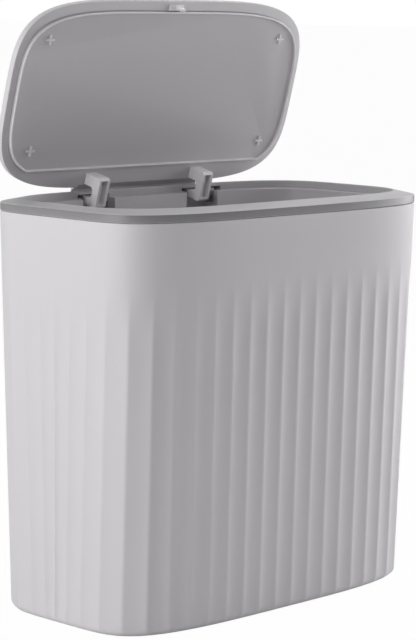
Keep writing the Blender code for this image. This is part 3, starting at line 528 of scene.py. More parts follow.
class Coating:
    """A new material with its shader, and the wiring that the finishes repeat."""

    def __init__(self, name: str) -> None:
        """Open a new material.

        Args:
            name: The material's name.
        """
        self.material = bpy.data.materials.new(name)
        self.material.use_nodes = True
        self.nodes = self.material.node_tree.nodes
        self.shader = self.nodes["Principled BSDF"].inputs

    def link(self, source: Plug, target: Plug) -> None:
        """Join an output to an input."""
        self.material.node_tree.links.new(source, target)

    def place(self, group: bpy.types.NodeTree, values: dict[str, object]) -> bpy.types.Node:
        """Place a shared group.

        Args:
            group: The group.
            values: Values of its inputs.

        Returns:
            The node that holds it.
        """
        node = self.nodes.new("ShaderNodeGroup")
        node.node_tree = group
        for label, value in values.items():
            node.inputs[label].default_value = value
        return node

    def raise_surface(self, height: Plug, depth: float) -> None:
        """Let a height shape the surface.

        Args:
            height: The height, from 0 to 1.
            depth: How deep it goes, in metres.
        """
        bump = self.nodes.new("ShaderNodeBump")
        bump.inputs["Strength"].default_value = 1
        bump.inputs["Distance"].default_value = depth
        self.link(height, bump.inputs["Height"])
        self.link(bump.outputs["Normal"], self.shader["Normal"])


@dataclass(frozen=True)
class MouldedFinish:
    """A moulded plastic surface: colour, slow drift in tone, fine grain and a painted highlight on its
    edges.
    """

    name: str
    colour: Colour
    shade: Colour
    painted_highlight: Colour
    gloss_low: float
    gloss_high: float
    grain_scale: float = 1500.0
    grain_depth: float = 0.00003
    drift_scale: float = 12.0
    specular: float = 0.4

    def build(self, kit: ShaderKit) -> bpy.types.Material:
        """Make the material.

        Args:
            kit: The shared shader groups.

        Returns:
            The material with this finish.
        """
        coating = Coating(self.name)
        coating.shader["Specular IOR Level"].default_value = self.specular
        grain = coating.place(kit.mould_grain, {
            "Colour": (*self.colour, 1), "Shade": (*self.shade, 1),
            "Grain Scale": self.grain_scale, "Drift Scale": self.drift_scale,
            "Gloss Low": self.gloss_low, "Gloss High": self.gloss_high,
        })
        # Painted highlight: the edges get the lighter highlight colour.
        highlight = coating.place(kit.edge_highlight, {"Highlight Colour": (*self.painted_highlight, 1)})
        coating.link(grain.outputs["Colour"], highlight.inputs["Colour"])
        coating.link(highlight.outputs["Colour"], coating.shader["Base Color"])
        coating.link(grain.outputs["Roughness"], coating.shader["Roughness"])
        coating.raise_surface(grain.outputs["Height"], self.grain_depth)
        return coating.material


@dataclass(frozen=True)
class MetalFinish:
    """A drawn or turned metal surface with fine lines along one direction."""

    name: str
    colour: Colour
    stretch: Corner
    gloss_low: float
    gloss_high: float
    line_depth: float = 0.00001
    metallic: float = 1.0

    def build(self, kit: ShaderKit) -> bpy.types.Material:
        """Make the material.

        Args:
            kit: The shared shader groups.

        Returns:
            The material with this finish.
        """
        coating = Coating(self.name)
        coating.shader["Base Color"].default_value = (*self.colour, 1)
        coating.shader["Metallic"].default_value = self.metallic
        streaks = coating.place(kit.drawn_streaks, {
            "Stretch": self.stretch, "Gloss Low": self.gloss_low, "Gloss High": self.gloss_high,
        })
        coating.link(streaks.outputs["Roughness"], coating.shader["Roughness"])
        coating.raise_surface(streaks.outputs["Height"], self.line_depth)
        return coating.material


Finish = Union[MouldedFinish, MetalFinish]


class Slot(Enum):
    """The record's material slots."""

    SHELL = "shell_grey"
    RIM = "rim_grey"
    LID = "lid_grey"
    STEEL = "steel"
    ZINC = "zinc"


@dataclass
class Finishes:
    """All finishes of the bin, built once."""

    kit: ShaderKit = field(default_factory=ShaderKit)
    # The third colour of each moulded finish is the painted highlight on its edges.
    shell: MouldedFinish = MouldedFinish(
        "shell_plastic", (0.640, 0.622, 0.640), (0.615, 0.598, 0.615), (0.780, 0.762, 0.780), 0.50, 0.60)
    rim: MouldedFinish = MouldedFinish(
        "rim_plastic", (0.455, 0.443, 0.456), (0.430, 0.419, 0.431), (0.700, 0.683, 0.700), 0.42, 0.52)
    band: MouldedFinish = MouldedFinish(
        "rim_band_plastic", (0.165, 0.161, 0.166), (0.155, 0.151, 0.156), (0.360, 0.351, 0.360), 0.32, 0.40,
        grain_depth=0.00001, specular=0.36)
    cover: MouldedFinish = MouldedFinish(
        "lid_cover_plastic", (0.620, 0.604, 0.620), (0.595, 0.580, 0.595), (0.626, 0.610, 0.626),
        0.40, 0.50)
    liner: MouldedFinish = MouldedFinish(
        "lid_liner_plastic", (0.570, 0.555, 0.570), (0.545, 0.530, 0.545), (0.640, 0.623, 0.640),
        0.28, 0.38)
    # Painted highlight: a lighter colour for the lid's rib and bosses, where light catches them.
    rib: MouldedFinish = MouldedFinish(
        "lid_rib_painted_highlight", (0.780, 0.762, 0.780), (0.740, 0.722, 0.740), (0.820, 0.802, 0.820), 0.24, 0.34)
    light: MouldedFinish = MouldedFinish(
        "light_plastic", (0.840, 0.820, 0.840), (0.805, 0.785, 0.805), (0.860, 0.842, 0.860), 0.38, 0.48)
    spring: MetalFinish = MetalFinish(
        "spring_steel", (0.86, 0.86, 0.88), (900.0, 300.0, 300.0), 0.30, 0.46, metallic=0.3)
    pin: MetalFinish = MetalFinish("pin_steel", (0.58, 0.58, 0.60), (40.0, 1500.0, 1500.0), 0.16, 0.3)
    zinc: MetalFinish = MetalFinish("screw_zinc", (0.66, 0.66, 0.67), (900.0, 900.0, 80.0), 0.25, 0.42)

    def __post_init__(self) -> None:
        """Build every material."""
        finishes = (
            self.shell, self.rim, self.band, self.cover, self.liner, self.rib, self.light,
            self.spring, self.pin, self.zinc,
        )
        self.made = {finish.name: finish.build(self.kit) for finish in finishes}

    def dress(self, item: Item, finish: Finish, crease: Crease) -> None:
        """Give a new piece its shading and one finish on its whole surface.

        Args:
            item: The piece.
            finish: The finish to use.
            crease: Which of its edges stay sharp.
        """
        MeshTools.smooth(item, crease)
        item.data.materials.clear()
        item.data.materials.append(self.made[finish.name])

    def accent(self, item: Item, finish: Finish, faces: Sequence[int]) -> None:
        """Give some faces of a dressed piece a second finish.

        Args:
            item: The piece.
            finish: The second finish.
            faces: Indices of the faces.
        """
        item.data.materials.append(self.made[finish.name])
        for index in faces:
            item.data.polygons[index].material_index = 1

    def recolour(self, node: str, finish: Finish) -> Item:
        """Give a CAD node a finish in its material slots.

        Args:
            node: Name of the node.
            finish: The finish to use.

        Returns:
            The node's object.
        """
        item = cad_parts[node]
        for slot in item.material_slots:
            slot.link = "OBJECT"
            slot.material = self.made[finish.name]
        return item


def settle(item: Item, body: Body, slot: Slot, *nodes: str) -> Item:
    """Let a new piece ride on its body and stand for its CAD nodes.

    Args:
        item: The piece.
        body: The body it moves with.
        slot: The record's material slot; not used.
        nodes: CAD nodes that it stands for.

    Returns:
        The piece.
    """
    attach(item, body.value)
    if nodes:
        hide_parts(*nodes)
    return item


@dataclass
class Wire:
    """The steel wire of a spring that joins the rim to a moving body."""

    finishes: Finishes
    name: str
    node: str
    moving: Body
    diameter: float
    sides: int

    def build(self, points: Sequence[np.ndarray], fixed: Corner, led: Corner) -> Item:
        """Make a spring along a centre line.

        Args:
            points: The wire's centre line.
            fixed: Where the spring rests on the rim; not used.
            led: Where the moving body leads it; not used.

        Returns:
            The spring.
        """
        spring = MeshTools.add(self.name, MeshTools.tube(points, self.diameter / 2, self.sides))
        self.finishes.dress(spring, self.finishes.spring, Crease.WIRE)
        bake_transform(spring)
        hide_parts(self.node)
        return spring


@dataclass
class BinShell:
    """The fluted body: an open shell with scalloped walls and a hanging socket on its back."""

    finishes: Finishes
    length: float = 0.290
    depth: float = 0.162
    seam_height: float = 0.264
    wall: float = 0.0020
    floor: float = 0.0025
    base_rounding: float = 0.006
    lip_rounding: float = 0.0009
    end_slope: float = 0.0098
    front_slope: float = 0.018
    back_slope: float = 0.030
    power_x: float = 3.6
    seam_power_y: float = 6.0
    base_power_y: float = 4.8
    flutes: int = 52
    steps_per_flute: int = 12
    flute_depth: float = 0.0012
    flute_full: float = 0.185
    flute_end: float = 0.230
    plain_half_width: float = 0.031
    socket_half: float = 0.026
    socket_bottom: float = 0.190
    socket_top: float = 0.242
    socket_roof: float = 0.004
    socket_root: float = 0.0785
    socket_back: float = 0.0863
    socket_lip: float = 0.0020
    slot_front: float = 0.0807
    slot_half: float = 0.022
    mouth_half: float = 0.018
    socket_edge: float = 0.0005
    base_facets: int = 6
    lip_facets: int = 4
    straight_rings: int = 14
    fade_rings: int = 19
    band_rings: int = 4
    inner_rings: int = 6

    def plan(self, height: float) -> Plan:
        """Plan of the body at a height: it narrows downward by its drafts.

        Args:
            height: The height.

        Returns:
            The outline there.
        """
        drop = self.seam_height - height
        return Plan(
            self.length / 2 - self.end_slope * drop,
            self.depth / 2 - self.front_slope * drop,
            self.depth / 2 - self.back_slope * drop,
            self.power_x,
            self.base_power_y + (self.seam_power_y - self.base_power_y) * height / self.seam_height,
        )

    def flute_share(self, height: float) -> float:
        """Share of the flutes' depth that a height has.

        Args:
            height: The height.

        Returns:
            A share from 0 to 1.
        """
        rise = (self.flute_end - height) / (self.flute_end - self.flute_full)
        rise = min(max(rise, 0.0), 1.0)
        return rise * rise * (3 - 2 * rise) * min(height / self.base_rounding, 1.0)

    def heights(self) -> list[float]:
        """Levels of the outer rings between the base rounding and the lip.

        Returns:
            The levels from the base up.
        """
        lip = self.seam_height - SEAT_GAP - self.lip_rounding
        straight = np.linspace(self.base_rounding, self.flute_full, self.straight_rings)
        fade = np.linspace(self.flute_full, self.flute_end, self.fade_rings)
        band = np.linspace(self.flute_end, lip, self.band_rings)
        return [*straight[1:], *fade[1:], *band[1:]]

    def build(self) -> Item:
        """Make the shell and its socket.

        Returns:
            The shell.
        """
        seam = self.plan(self.seam_height)
        around = seam.spread(self.flutes * self.steps_per_flute)
        steps = np.arange(len(around)) % self.steps_per_flute / self.steps_per_flute
        scallop = 4 * steps * (1 - steps)
        spots = seam.points(around)
        scallop = np.where((np.abs(spots[:, 0]) < self.plain_half_width) & (spots[:, 1] > 0), 0, scallop)
        top = self.seam_height - SEAT_GAP

        def ring(height: float, inset: Union[float, np.ndarray], drop: float = 0.0) -> Ring:
            """Ring of the plan at a height, moved inward and lowered."""
            return level(self.plan(height).points(around, inset), height - drop)

        def fluted(height: float, inset: float = 0.0) -> Ring:
            """Outer ring at a height, scalloped as deep as the flutes are there."""
            return ring(height, inset + self.flute_depth * scallop * self.flute_share(height))

        rings = [fluted(up, inward) for inward, up in quarter_round(self.base_rounding, self.base_facets)]
        rings += [fluted(height) for height in self.heights()]
        lip = reversed(quarter_round(self.lip_rounding, self.lip_facets)[:-1])
        rings += [ring(top, inward, down) for inward, down in lip]
        rings.append(ring(top, self.wall))
        fade = np.linspace(self.flute_end, self.flute_full, self.inner_rings)
        for height in (*fade, self.base_rounding):
            rings.append(ring(height, self.wall + self.flute_depth * self.flute_share(height)))
        rings.append(ring(self.floor, self.wall + self.flute_depth + self.base_rounding - self.floor))
        shell = MeshTools.add("bin_shell", MeshTools.skin(rings))
        self.finishes.dress(shell, self.finishes.shell, Crease.WALL)
        settle(shell, Body.BIN, Slot.SHELL, "bin_body")
        self.build_socket()
        return shell

    def build_socket(self) -> Item:
        """Make the socket on the back: two lipped rails under a roof.

        Returns:
            The socket.
        """
        low = (-self.socket_half, self.socket_root, self.socket_bottom)
        high = (self.socket_half, self.socket_back, self.socket_top)
        lip_front = self.socket_back - self.socket_lip
        roof = self.socket_top - self.socket_roof
        below = self.socket_bottom - CUT_OVERRUN
        socket = MeshTools.add("hanging_socket", MeshTools.block(low, high))
        MeshTools.carve(socket, [
            (Change.CUT, MeshTools.block(
                (-self.slot_half, self.slot_front, below), (self.slot_half, lip_front, roof))),
            (Change.CUT, MeshTools.block(
                (-self.mouth_half, lip_front - SEAT_GAP, below),
                (self.mouth_half, self.socket_back + CUT_OVERRUN, roof))),
        ])
        MeshTools.soften(socket, self.socket_edge)
        self.finishes.dress(socket, self.finishes.shell, Crease.WALL)
        return settle(socket, Body.BIN, Slot.SHELL)


@dataclass
class RimMoulding:
    """The lift-off rim: band, sloped top, crest, ledge, skirt, hinge pockets and latch bay."""

    finishes: Finishes
    shell: BinShell
    samples: int = 320
    band_top: float = 0.2693
    band_rounding: float = 0.0007
    crest_height: float = 0.2719
    crest_half_length: float = 0.1375
    crest_half_depth: float = 0.067
    crest_power_x: float = 4.7
    crest_power_y: float = 4.0
    crest_rounding: float = 0.0010
    ledge_height: float = 0.2666
    ledge_width: float = 0.0055
    wall: float = 0.0016
    skirt_bottom: float = 0.242
    plug_bottom: float = 0.250
    plug_gap: float = 0.0006
    plug_taper: float = 0.0006
    hinge_spacing: float = 0.100
    hinge_y: float = 0.0718
    hinge_z: float = 0.2662
    pin_bore: float = 0.0015
    pocket_inner_reach: float = 0.0135
    pocket_window_reach: float = 0.0165
    pocket_spring_reach: float = 0.025
    pocket_bottom: float = 0.246
    pocket_roof: float = 0.2694
    pocket_back: float = 0.0755
    pocket_wall: float = 0.0020
    pocket_back_wall: float = 0.0011
    bay_bottom: float = 0.2575
    bay_front_right: float = 0.0646
    bay_front_left: float = 0.0689
    latch_half: float = 0.0083
    latch_front: float = -0.0662
    latch_back: float = -0.0574
    latch_floor: float = 0.240
    latch_wall: float = 0.0020
    latch_top: float = 0.2638
    band_upright: float = 0.6
    band_reach: float = 0.985
    facets: int = 3
    crest_facets: int = 5
    bore_sides: int = 24

    def crest_plan(self) -> Plan:
        """Plan of the opening at the crest."""
        return Plan(
            self.crest_half_length, self.crest_half_depth, self.crest_half_depth,
            self.crest_power_x, self.crest_power_y,
        )

    def rings(self) -> list[Ring]:
        """The rim's cross-section, as rings that follow the band outside and the crest inside.

        Returns:
            The rings, round the cross-section.
        """
        seam = self.shell.plan(self.shell.seam_height)
        crest = self.crest_plan()
        outside, inside = seam.spread(self.samples), crest.spread(self.samples)
        plug_out = self.shell.wall + self.plug_gap
        plug_in = plug_out + self.wall
        skirt_out = self.ledge_width - self.wall
        under = self.ledge_height - self.wall
        base, rounding = self.shell.seam_height, self.band_rounding

        def band(inset: float, height: float) -> Ring:
            """Ring that follows the outside of the body."""
            return level(seam.points(outside, inset), height)

        def opening(inset: float, height: float) -> Ring:
            """Ring that follows the opening."""
            return level(crest.points(inside, inset), height)

        rings = [band(rounding / 2, base), band(0, base + rounding / 2)]
        for inward, downward in reversed(quarter_round(rounding, self.facets)):
            rings.append(band(inward, self.band_top - downward))
        for inward, downward in quarter_round(self.crest_rounding, self.crest_facets):
            rings.append(opening(-inward, self.crest_height - downward))
        rings += [
            opening(0, self.ledge_height + rounding / 3),
            opening(rounding / 3, self.ledge_height),
        ]
        for inward, downward in quarter_round(rounding, self.facets):
            rings.append(opening(self.ledge_width - inward, self.ledge_height - downward))
        rings += [
            opening(self.ledge_width, self.skirt_bottom),
            opening(skirt_out, self.skirt_bottom),
            opening(skirt_out, under),
            opening(-self.wall, under),
            opening(-self.wall, self.crest_height - self.wall),
            band(plug_in, self.band_top - self.wall),
            band(plug_in, self.plug_bottom),
            band(plug_out + self.plug_taper, self.plug_bottom),
            band(plug_out, base),
        ]
        return rings

    def changes(self) -> list[tuple[Change, Mesh]]:
        """Housings and cuts of the hinge pockets and the latch bay.

        Returns:
            The steps, in order.
        """
        skirt_back = self.crest_half_depth - self.ledge_width + self.wall
        deck_front = self.crest_half_depth + self.crest_rounding
        seat = self.ledge_height - self.wall / 2
        housing_back = self.pocket_back + self.pocket_back_wall
        housing = [
            (skirt_back - self.wall / 2, self.pocket_bottom - self.pocket_wall),
            (housing_back, self.pocket_bottom - self.pocket_wall),
            (housing_back, self.band_top - self.band_rounding),
            (deck_front, self.crest_height - self.crest_rounding),
            (deck_front, seat),
            (skirt_back - self.wall / 2, seat),
        ]
        latch = [
            (self.latch_front - self.latch_wall, self.latch_floor - self.latch_wall),
            (self.latch_back + self.latch_wall, self.latch_floor - self.latch_wall),
            (self.latch_back + self.latch_wall, self.latch_top),
            (self.wall / 2 - skirt_back, self.latch_top),
            (self.wall / 2 - skirt_back, seat),
            (self.latch_front - self.latch_wall, seat),
        ]
        centres = (-self.hinge_spacing / 2, self.hinge_spacing / 2)
        inner = self.pocket_inner_reach + self.pocket_wall
        outer = self.pocket_spring_reach + self.pocket_wall
        window_front = skirt_back - self.wall - CUT_OVERRUN
        reach = self.latch_half + self.latch_wall
        steps = [(Change.WELD, MeshTools.prism(housing, x - inner, x + outer, Axis.X)) for x in centres]
        steps.append((Change.WELD, MeshTools.prism(latch, -reach, reach, Axis.X)))
        for centre, bay_front in zip(centres, (self.bay_front_left, self.bay_front_right)):
            window = MeshTools.block(
                (centre - self.pocket_inner_reach, window_front, self.pocket_bottom),
                (centre + self.pocket_window_reach, self.pocket_back, self.pocket_roof))
            bay = MeshTools.block(
                (centre + self.pocket_window_reach - self.wall, bay_front, self.bay_bottom),
                (centre + self.pocket_spring_reach, self.pocket_back, self.pocket_roof))
            ends = (centre - inner - CUT_OVERRUN, centre + outer + CUT_OVERRUN)
            hole = [(self.pin_bore, end) for end in ends]
            bore = MeshTools.turned(hole, (0, self.hinge_y, self.hinge_z), Axis.X, self.bore_sides)
            steps += [(Change.CUT, cutter) for cutter in (window, bay, bore)]
        steps.append((Change.CUT, MeshTools.block(
            (-self.latch_half, self.latch_front, self.latch_floor),
            (self.latch_half, self.latch_back, self.ledge_height + CUT_OVERRUN))))
        return steps

    def band_faces(self, rim: Item) -> list[int]:
        """Faces of the upright outer band, which has a smoother and darker finish.

        Args:
            rim: The rim.

        Returns:
            The faces' indices.
        """
        seam = self.shell.plan(self.shell.seam_height)
        found = []
        for face in rim.data.polygons:
            x, y, z = face.center
            spread = abs(x / seam.half_length) ** seam.power_x + abs(y / seam.half_front) ** seam.power_y
            upright = abs(face.normal.z) < self.band_upright
            if upright and z > self.shell.seam_height and spread > self.band_reach:
                found.append(face.index)
        return found

    def build(self) -> Item:
        """Make the rim.

        Returns:
            The rim.
        """
        rim = MeshTools.add("rim_moulding", MeshTools.skin(self.rings(), closed=True))
        MeshTools.carve(rim, self.changes())
        self.finishes.dress(rim, self.finishes.rim, Crease.MOULDING)
        self.finishes.accent(rim, self.finishes.band, self.band_faces(rim))
        return settle(rim, Body.RIM, Slot.RIM, "rim_frame")


@dataclass
class Lid:
    """The lid, modelled shut and swung open: cover, liner with rib and bosses."""

    finishes: Finishes
    rim: RimMoulding
    samples: int = 320
    gap: float = 0.0009
    hinge_gap: float = 0.0026
    rounding: float = 0.0015
    crown: float = 0.0006
    skin: float = 0.0020
    lip_rounding: float = 0.0004
    hood_half: float = 0.060
    hood_relief: float = 0.0024
    hood_gap: float = 0.0008
    hood_lift: float = 0.0003
    hood_overlap: float = 0.0019
    hood_thickness: float = 0.0008
    end_margin: float = 0.0055
    front_margin: float = 0.0072
    hinge_line: float = 0.0505
    rib_bottom: float = 0.2644
    rib_width: float = 0.0014
    panel_bottom: float = 0.2662
    panel_top: float = 0.2680
    rib_sheen_from: float = 0.0003
    boss_x: float = 0.110
    boss_front_y: float = -0.0395
    boss_back_y: float = 0.036
    boss_length: float = 0.0070
    boss_thickness: float = 0.0013
    boss_proud: float = 0.0012
    open_angle: float = math.radians(75.4)
    crown_shares: tuple[float, ...] = (0.04, 0.3, 0.55, 0.75, 0.9)
    edge_facets: int = 6
    lip_facets: int = 3
    rib_facets: int = 8

    def plan(self) -> Plan:
        """Plan of the lid, a gap inside the crest."""
        rim = self.rim
        return Plan(
            rim.crest_half_length - self.gap, rim.crest_half_depth - self.gap,
            rim.crest_half_depth - self.hinge_gap, rim.crest_power_x, rim.crest_power_y,
        )

    def liner_plan(self) -> Plan:
        """Plan of the liner inside the lip."""
        plan = self.plan()
        return Plan(
            plan.half_length - self.end_margin, plan.half_front - self.front_margin,
            plan.half_back - self.end_margin, plan.power_x, plan.power_y,
        )

    def swing(self, item: Item) -> None:
        """Turn a piece that was modelled with the lid shut to the open lid.

        Args:
            item: The piece.
        """
        pivot = Vector((0, self.rim.hinge_y, self.rim.hinge_z))
        turn = Matrix.Rotation(-self.open_angle, 4, "X")
        item.data.transform(Matrix.Translation(pivot) @ turn @ Matrix.Translation(-pivot))

    def build(self) -> list[Item]:
        """Make the cover and the liner.

        Returns:
            The two pieces.
        """
        return [self.build_cover(), self.build_liner()]

    def hood_profiles(self) -> tuple[Outline, Outline]:
        """Side views of the hood that laps over the crest, and of the hollow under it.

        Returns:
            The hood's outline and the hollow's.
        """
        back, crest = self.plan().half_back, self.rim.crest_half_depth
        lip, top = self.rim.ledge_height + SEAT_GAP, self.rim.crest_height
        shoulder, tip = back - self.rounding, crest + self.hood_overlap
        under, over = top + self.hood_lift, top + self.hood_lift + self.hood_thickness
        nose = self.hood_thickness / 3
        shape = [
            (shoulder, lip + self.lip_rounding), (tip - nose, under), (tip, under + nose),
            (tip, over - nose), (tip - nose, over), (crest, over), (shoulder, top),
        ]
        relief = [
            (back - self.hood_relief, lip - CUT_OVERRUN), (tip + CUT_OVERRUN, lip - CUT_OVERRUN),
            (tip + CUT_OVERRUN, under), (crest, under),
            (crest - self.hood_gap, top - self.hood_gap), (back - self.hood_relief, lip),
        ]
        return shape, relief

    def build_cover(self) -> Item:
        """The outer shell with its broad flat lip.

        Returns:
            The cover.
        """
        plan, inner = self.plan(), self.liner_plan()
        around = plan.spread(self.samples)
        top = self.rim.crest_height
        lip = self.rim.ledge_height + SEAT_GAP
        ceiling = top - self.skin
        face = plan.points(around, self.rounding)
        rings = [
            level(face * share, top + self.crown * (1 - share * share)) for share in self.crown_shares
        ]
        for inward, downward in quarter_round(self.rounding, self.edge_facets):
            rings.append(level(plan.points(around, inward), top - downward))
        for inward, upward in reversed(quarter_round(self.lip_rounding, self.lip_facets)):
            rings.append(level(plan.points(around, inward), lip + upward))
        line = self.hinge_line + SEAT_GAP
        rings += [
            level(inner.points(around, -SEAT_GAP, line), lip),
            level(inner.points(around, -SEAT_GAP, line), ceiling),
        ]
        cover = MeshTools.add("lid_shell", MeshTools.skin(rings))
        shape, relief = self.hood_profiles()
        reach = self.hood_half + SEAT_GAP
        MeshTools.carve(cover, [
            (Change.WELD, MeshTools.prism(shape, -self.hood_half, self.hood_half, Axis.X)),
            (Change.CUT, MeshTools.prism(relief, -reach, reach, Axis.X)),
        ])
        self.swing(cover)
        self.finishes.dress(cover, self.finishes.cover, Crease.MOULDING)
        return settle(cover, Body.LID, Slot.LID, "lid_cover")

    def build_liner(self) -> Item:
        """The inner panel: a tray with a rounded rib all round and four cross-shaped bosses.

        Returns:
            The liner.
        """
        inner = self.liner_plan()
        around = self.plan().spread(self.samples)
        tray_top = self.rim.crest_height - self.skin - SEAT_GAP

        def tray(inset: float, height: float) -> Ring:
            """Ring that follows the liner's edge, straight along the hinge."""
            return level(inner.points(around, inset, self.hinge_line - inset), height)

        half = self.rib_width / 2
        rings = [tray(self.rib_width, self.panel_top), tray(self.rib_width, tray_top), tray(0, tray_top)]
        for step in range(self.rib_facets + 1):
            turn = step / self.rib_facets * math.pi
            rings.append(tray(half - half * math.cos(turn), self.rib_bottom + half - half * math.sin(turn)))
        for inward, upward in quarter_round(self.lip_rounding, self.lip_facets):
            rings.append(tray(self.rib_width + upward, self.panel_bottom - inward))
        liner = MeshTools.add("lid_panel", MeshTools.skin(rings))
        size = (self.boss_length, self.boss_thickness)
        low, high = self.panel_bottom - self.boss_proud, (self.panel_bottom + self.panel_top) / 2
        MeshTools.carve(liner, [
            (Change.WELD, bar)
            for x in (-self.boss_x, self.boss_x) for y in (self.boss_front_y, self.boss_back_y)
            for bar in MeshTools.cross((x, y), size, low, high)
        ])
        # Painted highlight: the rib and the bosses, which stand proud of the panel, get the lighter rib
        # colour.
        sheen_from = self.panel_bottom - self.rib_sheen_from
        highlighted_faces = [face.index for face in liner.data.polygons if face.center.z < sheen_from]
        self.swing(liner)
        self.finishes.dress(liner, self.finishes.liner, Crease.CUT_PIECE)
        self.finishes.accent(liner, self.finishes.rib, highlighted_faces)
        return settle(liner, Body.LID, Slot.LID, "lid_liner")


@dataclass
class Hinges:
    """The gooseneck arms with their screws and pins, and the torsion springs that lift the lid."""

    finishes: Finishes
    rim: RimMoulding
    lid: Lid
    arm_width: float = 0.0095
    arm_front: float = 0.0535
    head_back: float = 0.0613
    head_roof: float = 0.0036
    barrel_radius: float = 0.0028
    edge: float = 0.0003
    wire: float = 0.0007
    coil_radius: float = 0.00255
    pitch: float = 0.0015
    whole_turns: int = 10
    points_per_turn: int = 24
    fixed_angle: float = math.radians(225.0)
    arm_leg: float = 0.008
    hook: float = 0.0032
    screw_radius: float = 0.0012
    screw_head_radius: float = 0.0020
    screw_head_height: float = 0.0016
    screw_depth: float = 0.0034
    # Shares of the head's radius and height, from its top to its seat
    screw_head: Outline = ((0.45, 1.0), (0.75, 0.93), (0.93, 0.72), (1.0, 0.4), (1.0, 0.0))
    screw_sides: int = 32
    threads: int = 6
    # Shares of the thread's radius and pitch, at its root and its crest
    thread: Outline = ((0.8, 0.3), (1.0, 0.8))
    screw_point: float = 0.3
    recess_length: float = 0.00248
    recess_width: float = 0.0006
    recess_depth: float = 0.0008
    wire_sides: int = 12
    bend_lead: float = 0.3
    # First and last share of the way from the hook to the coil, and the number of points
    leg_shares: tuple[float, float, int] = (0.12, 0.9, 6)
    fixed_leg_shares: tuple[float, ...] = (0.2, 0.6, 1.0)

    def build(self) -> list[Item]:
        """Dress the arms and pins and make the springs and screws.

        Returns:
            The new pieces.
        """
        made = []
        for side, centre in (("left", -self.rim.hinge_spacing / 2), ("right", self.rim.hinge_spacing / 2)):
            MeshTools.soften(self.finishes.recolour(f"hinge_arm_{side}", self.finishes.light), self.edge)
            self.finishes.recolour(f"hinge_pin_{side}", self.finishes.pin)
            made += [self.build_screw(side, centre), self.build_spring(side, centre)]
        return made

    def build_screw(self, side: str, centre: float) -> Item:
        """The pan-head screw in an arm's slot, with a cross recess.

        Args:
            side: Which arm it holds.
            centre: X of the arm's middle.

        Returns:
            The screw.
        """
        seat = self.rim.ledge_height - self.head_roof - SEAT_GAP
        tip = self.rim.ledge_height + SEAT_GAP + self.screw_depth
        height, pitch = self.screw_head_height, (tip - seat) / (self.threads + 1)
        profile = [(self.screw_head_radius * u, seat - height * v) for u, v in self.screw_head]
        profile.append((self.screw_radius, seat))
        for number in range(self.threads):
            profile += [(self.screw_radius * u, seat + pitch * (number + v)) for u, v in self.thread]
        profile.append((self.screw_radius * self.screw_point, tip))
        middle = (centre, (self.arm_front + self.head_back) / 2, 0.0)
        body = MeshTools.turned(profile, middle, Axis.Z, self.screw_sides)
        screw = MeshTools.add(f"lid_screw_{side}", body)
        size, top = (self.recess_length, self.recess_width), seat - height
        recess = MeshTools.cross(middle[:2], size, top - CUT_OVERRUN, top + self.recess_depth)
        MeshTools.carve(screw, [(Change.CUT, bar) for bar in recess])
        self.lid.swing(screw)
        self.finishes.dress(screw, self.finishes.zinc, Crease.CUT_PIECE)
        return settle(screw, Body.LID, Slot.ZINC, f"arm_screw_{side}")

    def spring_points(self, centre: float) -> tuple[list[np.ndarray], float, float]:
        """Centre line of a torsion spring with the lid open.

        Args:
            centre: X of the arm's middle.

        Returns:
            The points from the hook to the fixed leg, and X where the coil starts and ends.
        """
        angle = self.lid.open_angle
        along = np.array([0, -math.sin(angle), -math.cos(angle)])
        behind = np.array([0, math.cos(angle), -math.sin(angle)])
        clearance = SEAT_GAP + self.wire / 2
        start = centre + self.arm_width / 2 + clearance
        origin = np.array([start, self.rim.hinge_y, self.rim.hinge_z])
        hook = origin + along * self.arm_leg + behind * (self.barrel_radius + clearance)
        bend = self.wire
        points = [hook - np.array([self.hook - bend * share, 0, 0]) for share in (0.0, 1.0, 2.0)]
        lead = bend * self.bend_lead
        points += [hook - np.array([bend, 0, 0]), hook - np.array([lead, 0, 0]) - along * lead]
        tangent = origin + behind * self.coil_radius
        for share in np.linspace(*self.leg_shares):
            points.append(hook + (tangent - hook) * share)
        last_turn = self.fixed_angle + self.whole_turns * 2 * math.pi
        turns = (last_turn + angle) / (2 * math.pi)
        steps = int(turns * self.points_per_turn)
        for step in range(steps + 1):
            turn = -angle + (last_turn + angle) * step / steps
            points.append(np.array([
                start + turns * self.pitch * step / steps,
                self.rim.hinge_y + self.coil_radius * math.cos(turn),
                self.rim.hinge_z + self.coil_radius * math.sin(turn),
            ]))
        end = start + turns * self.pitch
        leave = np.array([0, -math.sin(last_turn), math.cos(last_turn)])
        reach = (self.rim.pocket_back - clearance - points[-1][1]) / leave[1]
        corner = points[-1]
        points += [corner + leave * reach * share for share in self.fixed_leg_shares]
        return points, start, end

    def build_spring(self, side: str, centre: float) -> Item:
        """One torsion spring, shaped for the open lid.

        Args:
            side: Which arm it lifts.
            centre: X of the arm's middle.

        Returns:
            The spring.
        """
        points, start, end = self.spring_points(centre)
        axis = (self.rim.hinge_y, self.rim.hinge_z)
        names = (f"lid_spring_{side}", f"hinge_spring_{side}")
        wire = Wire(self.finishes, *names, Body.LID, self.wire, self.wire_sides)
        return wire.build(points, (end, *axis), (start, *axis))


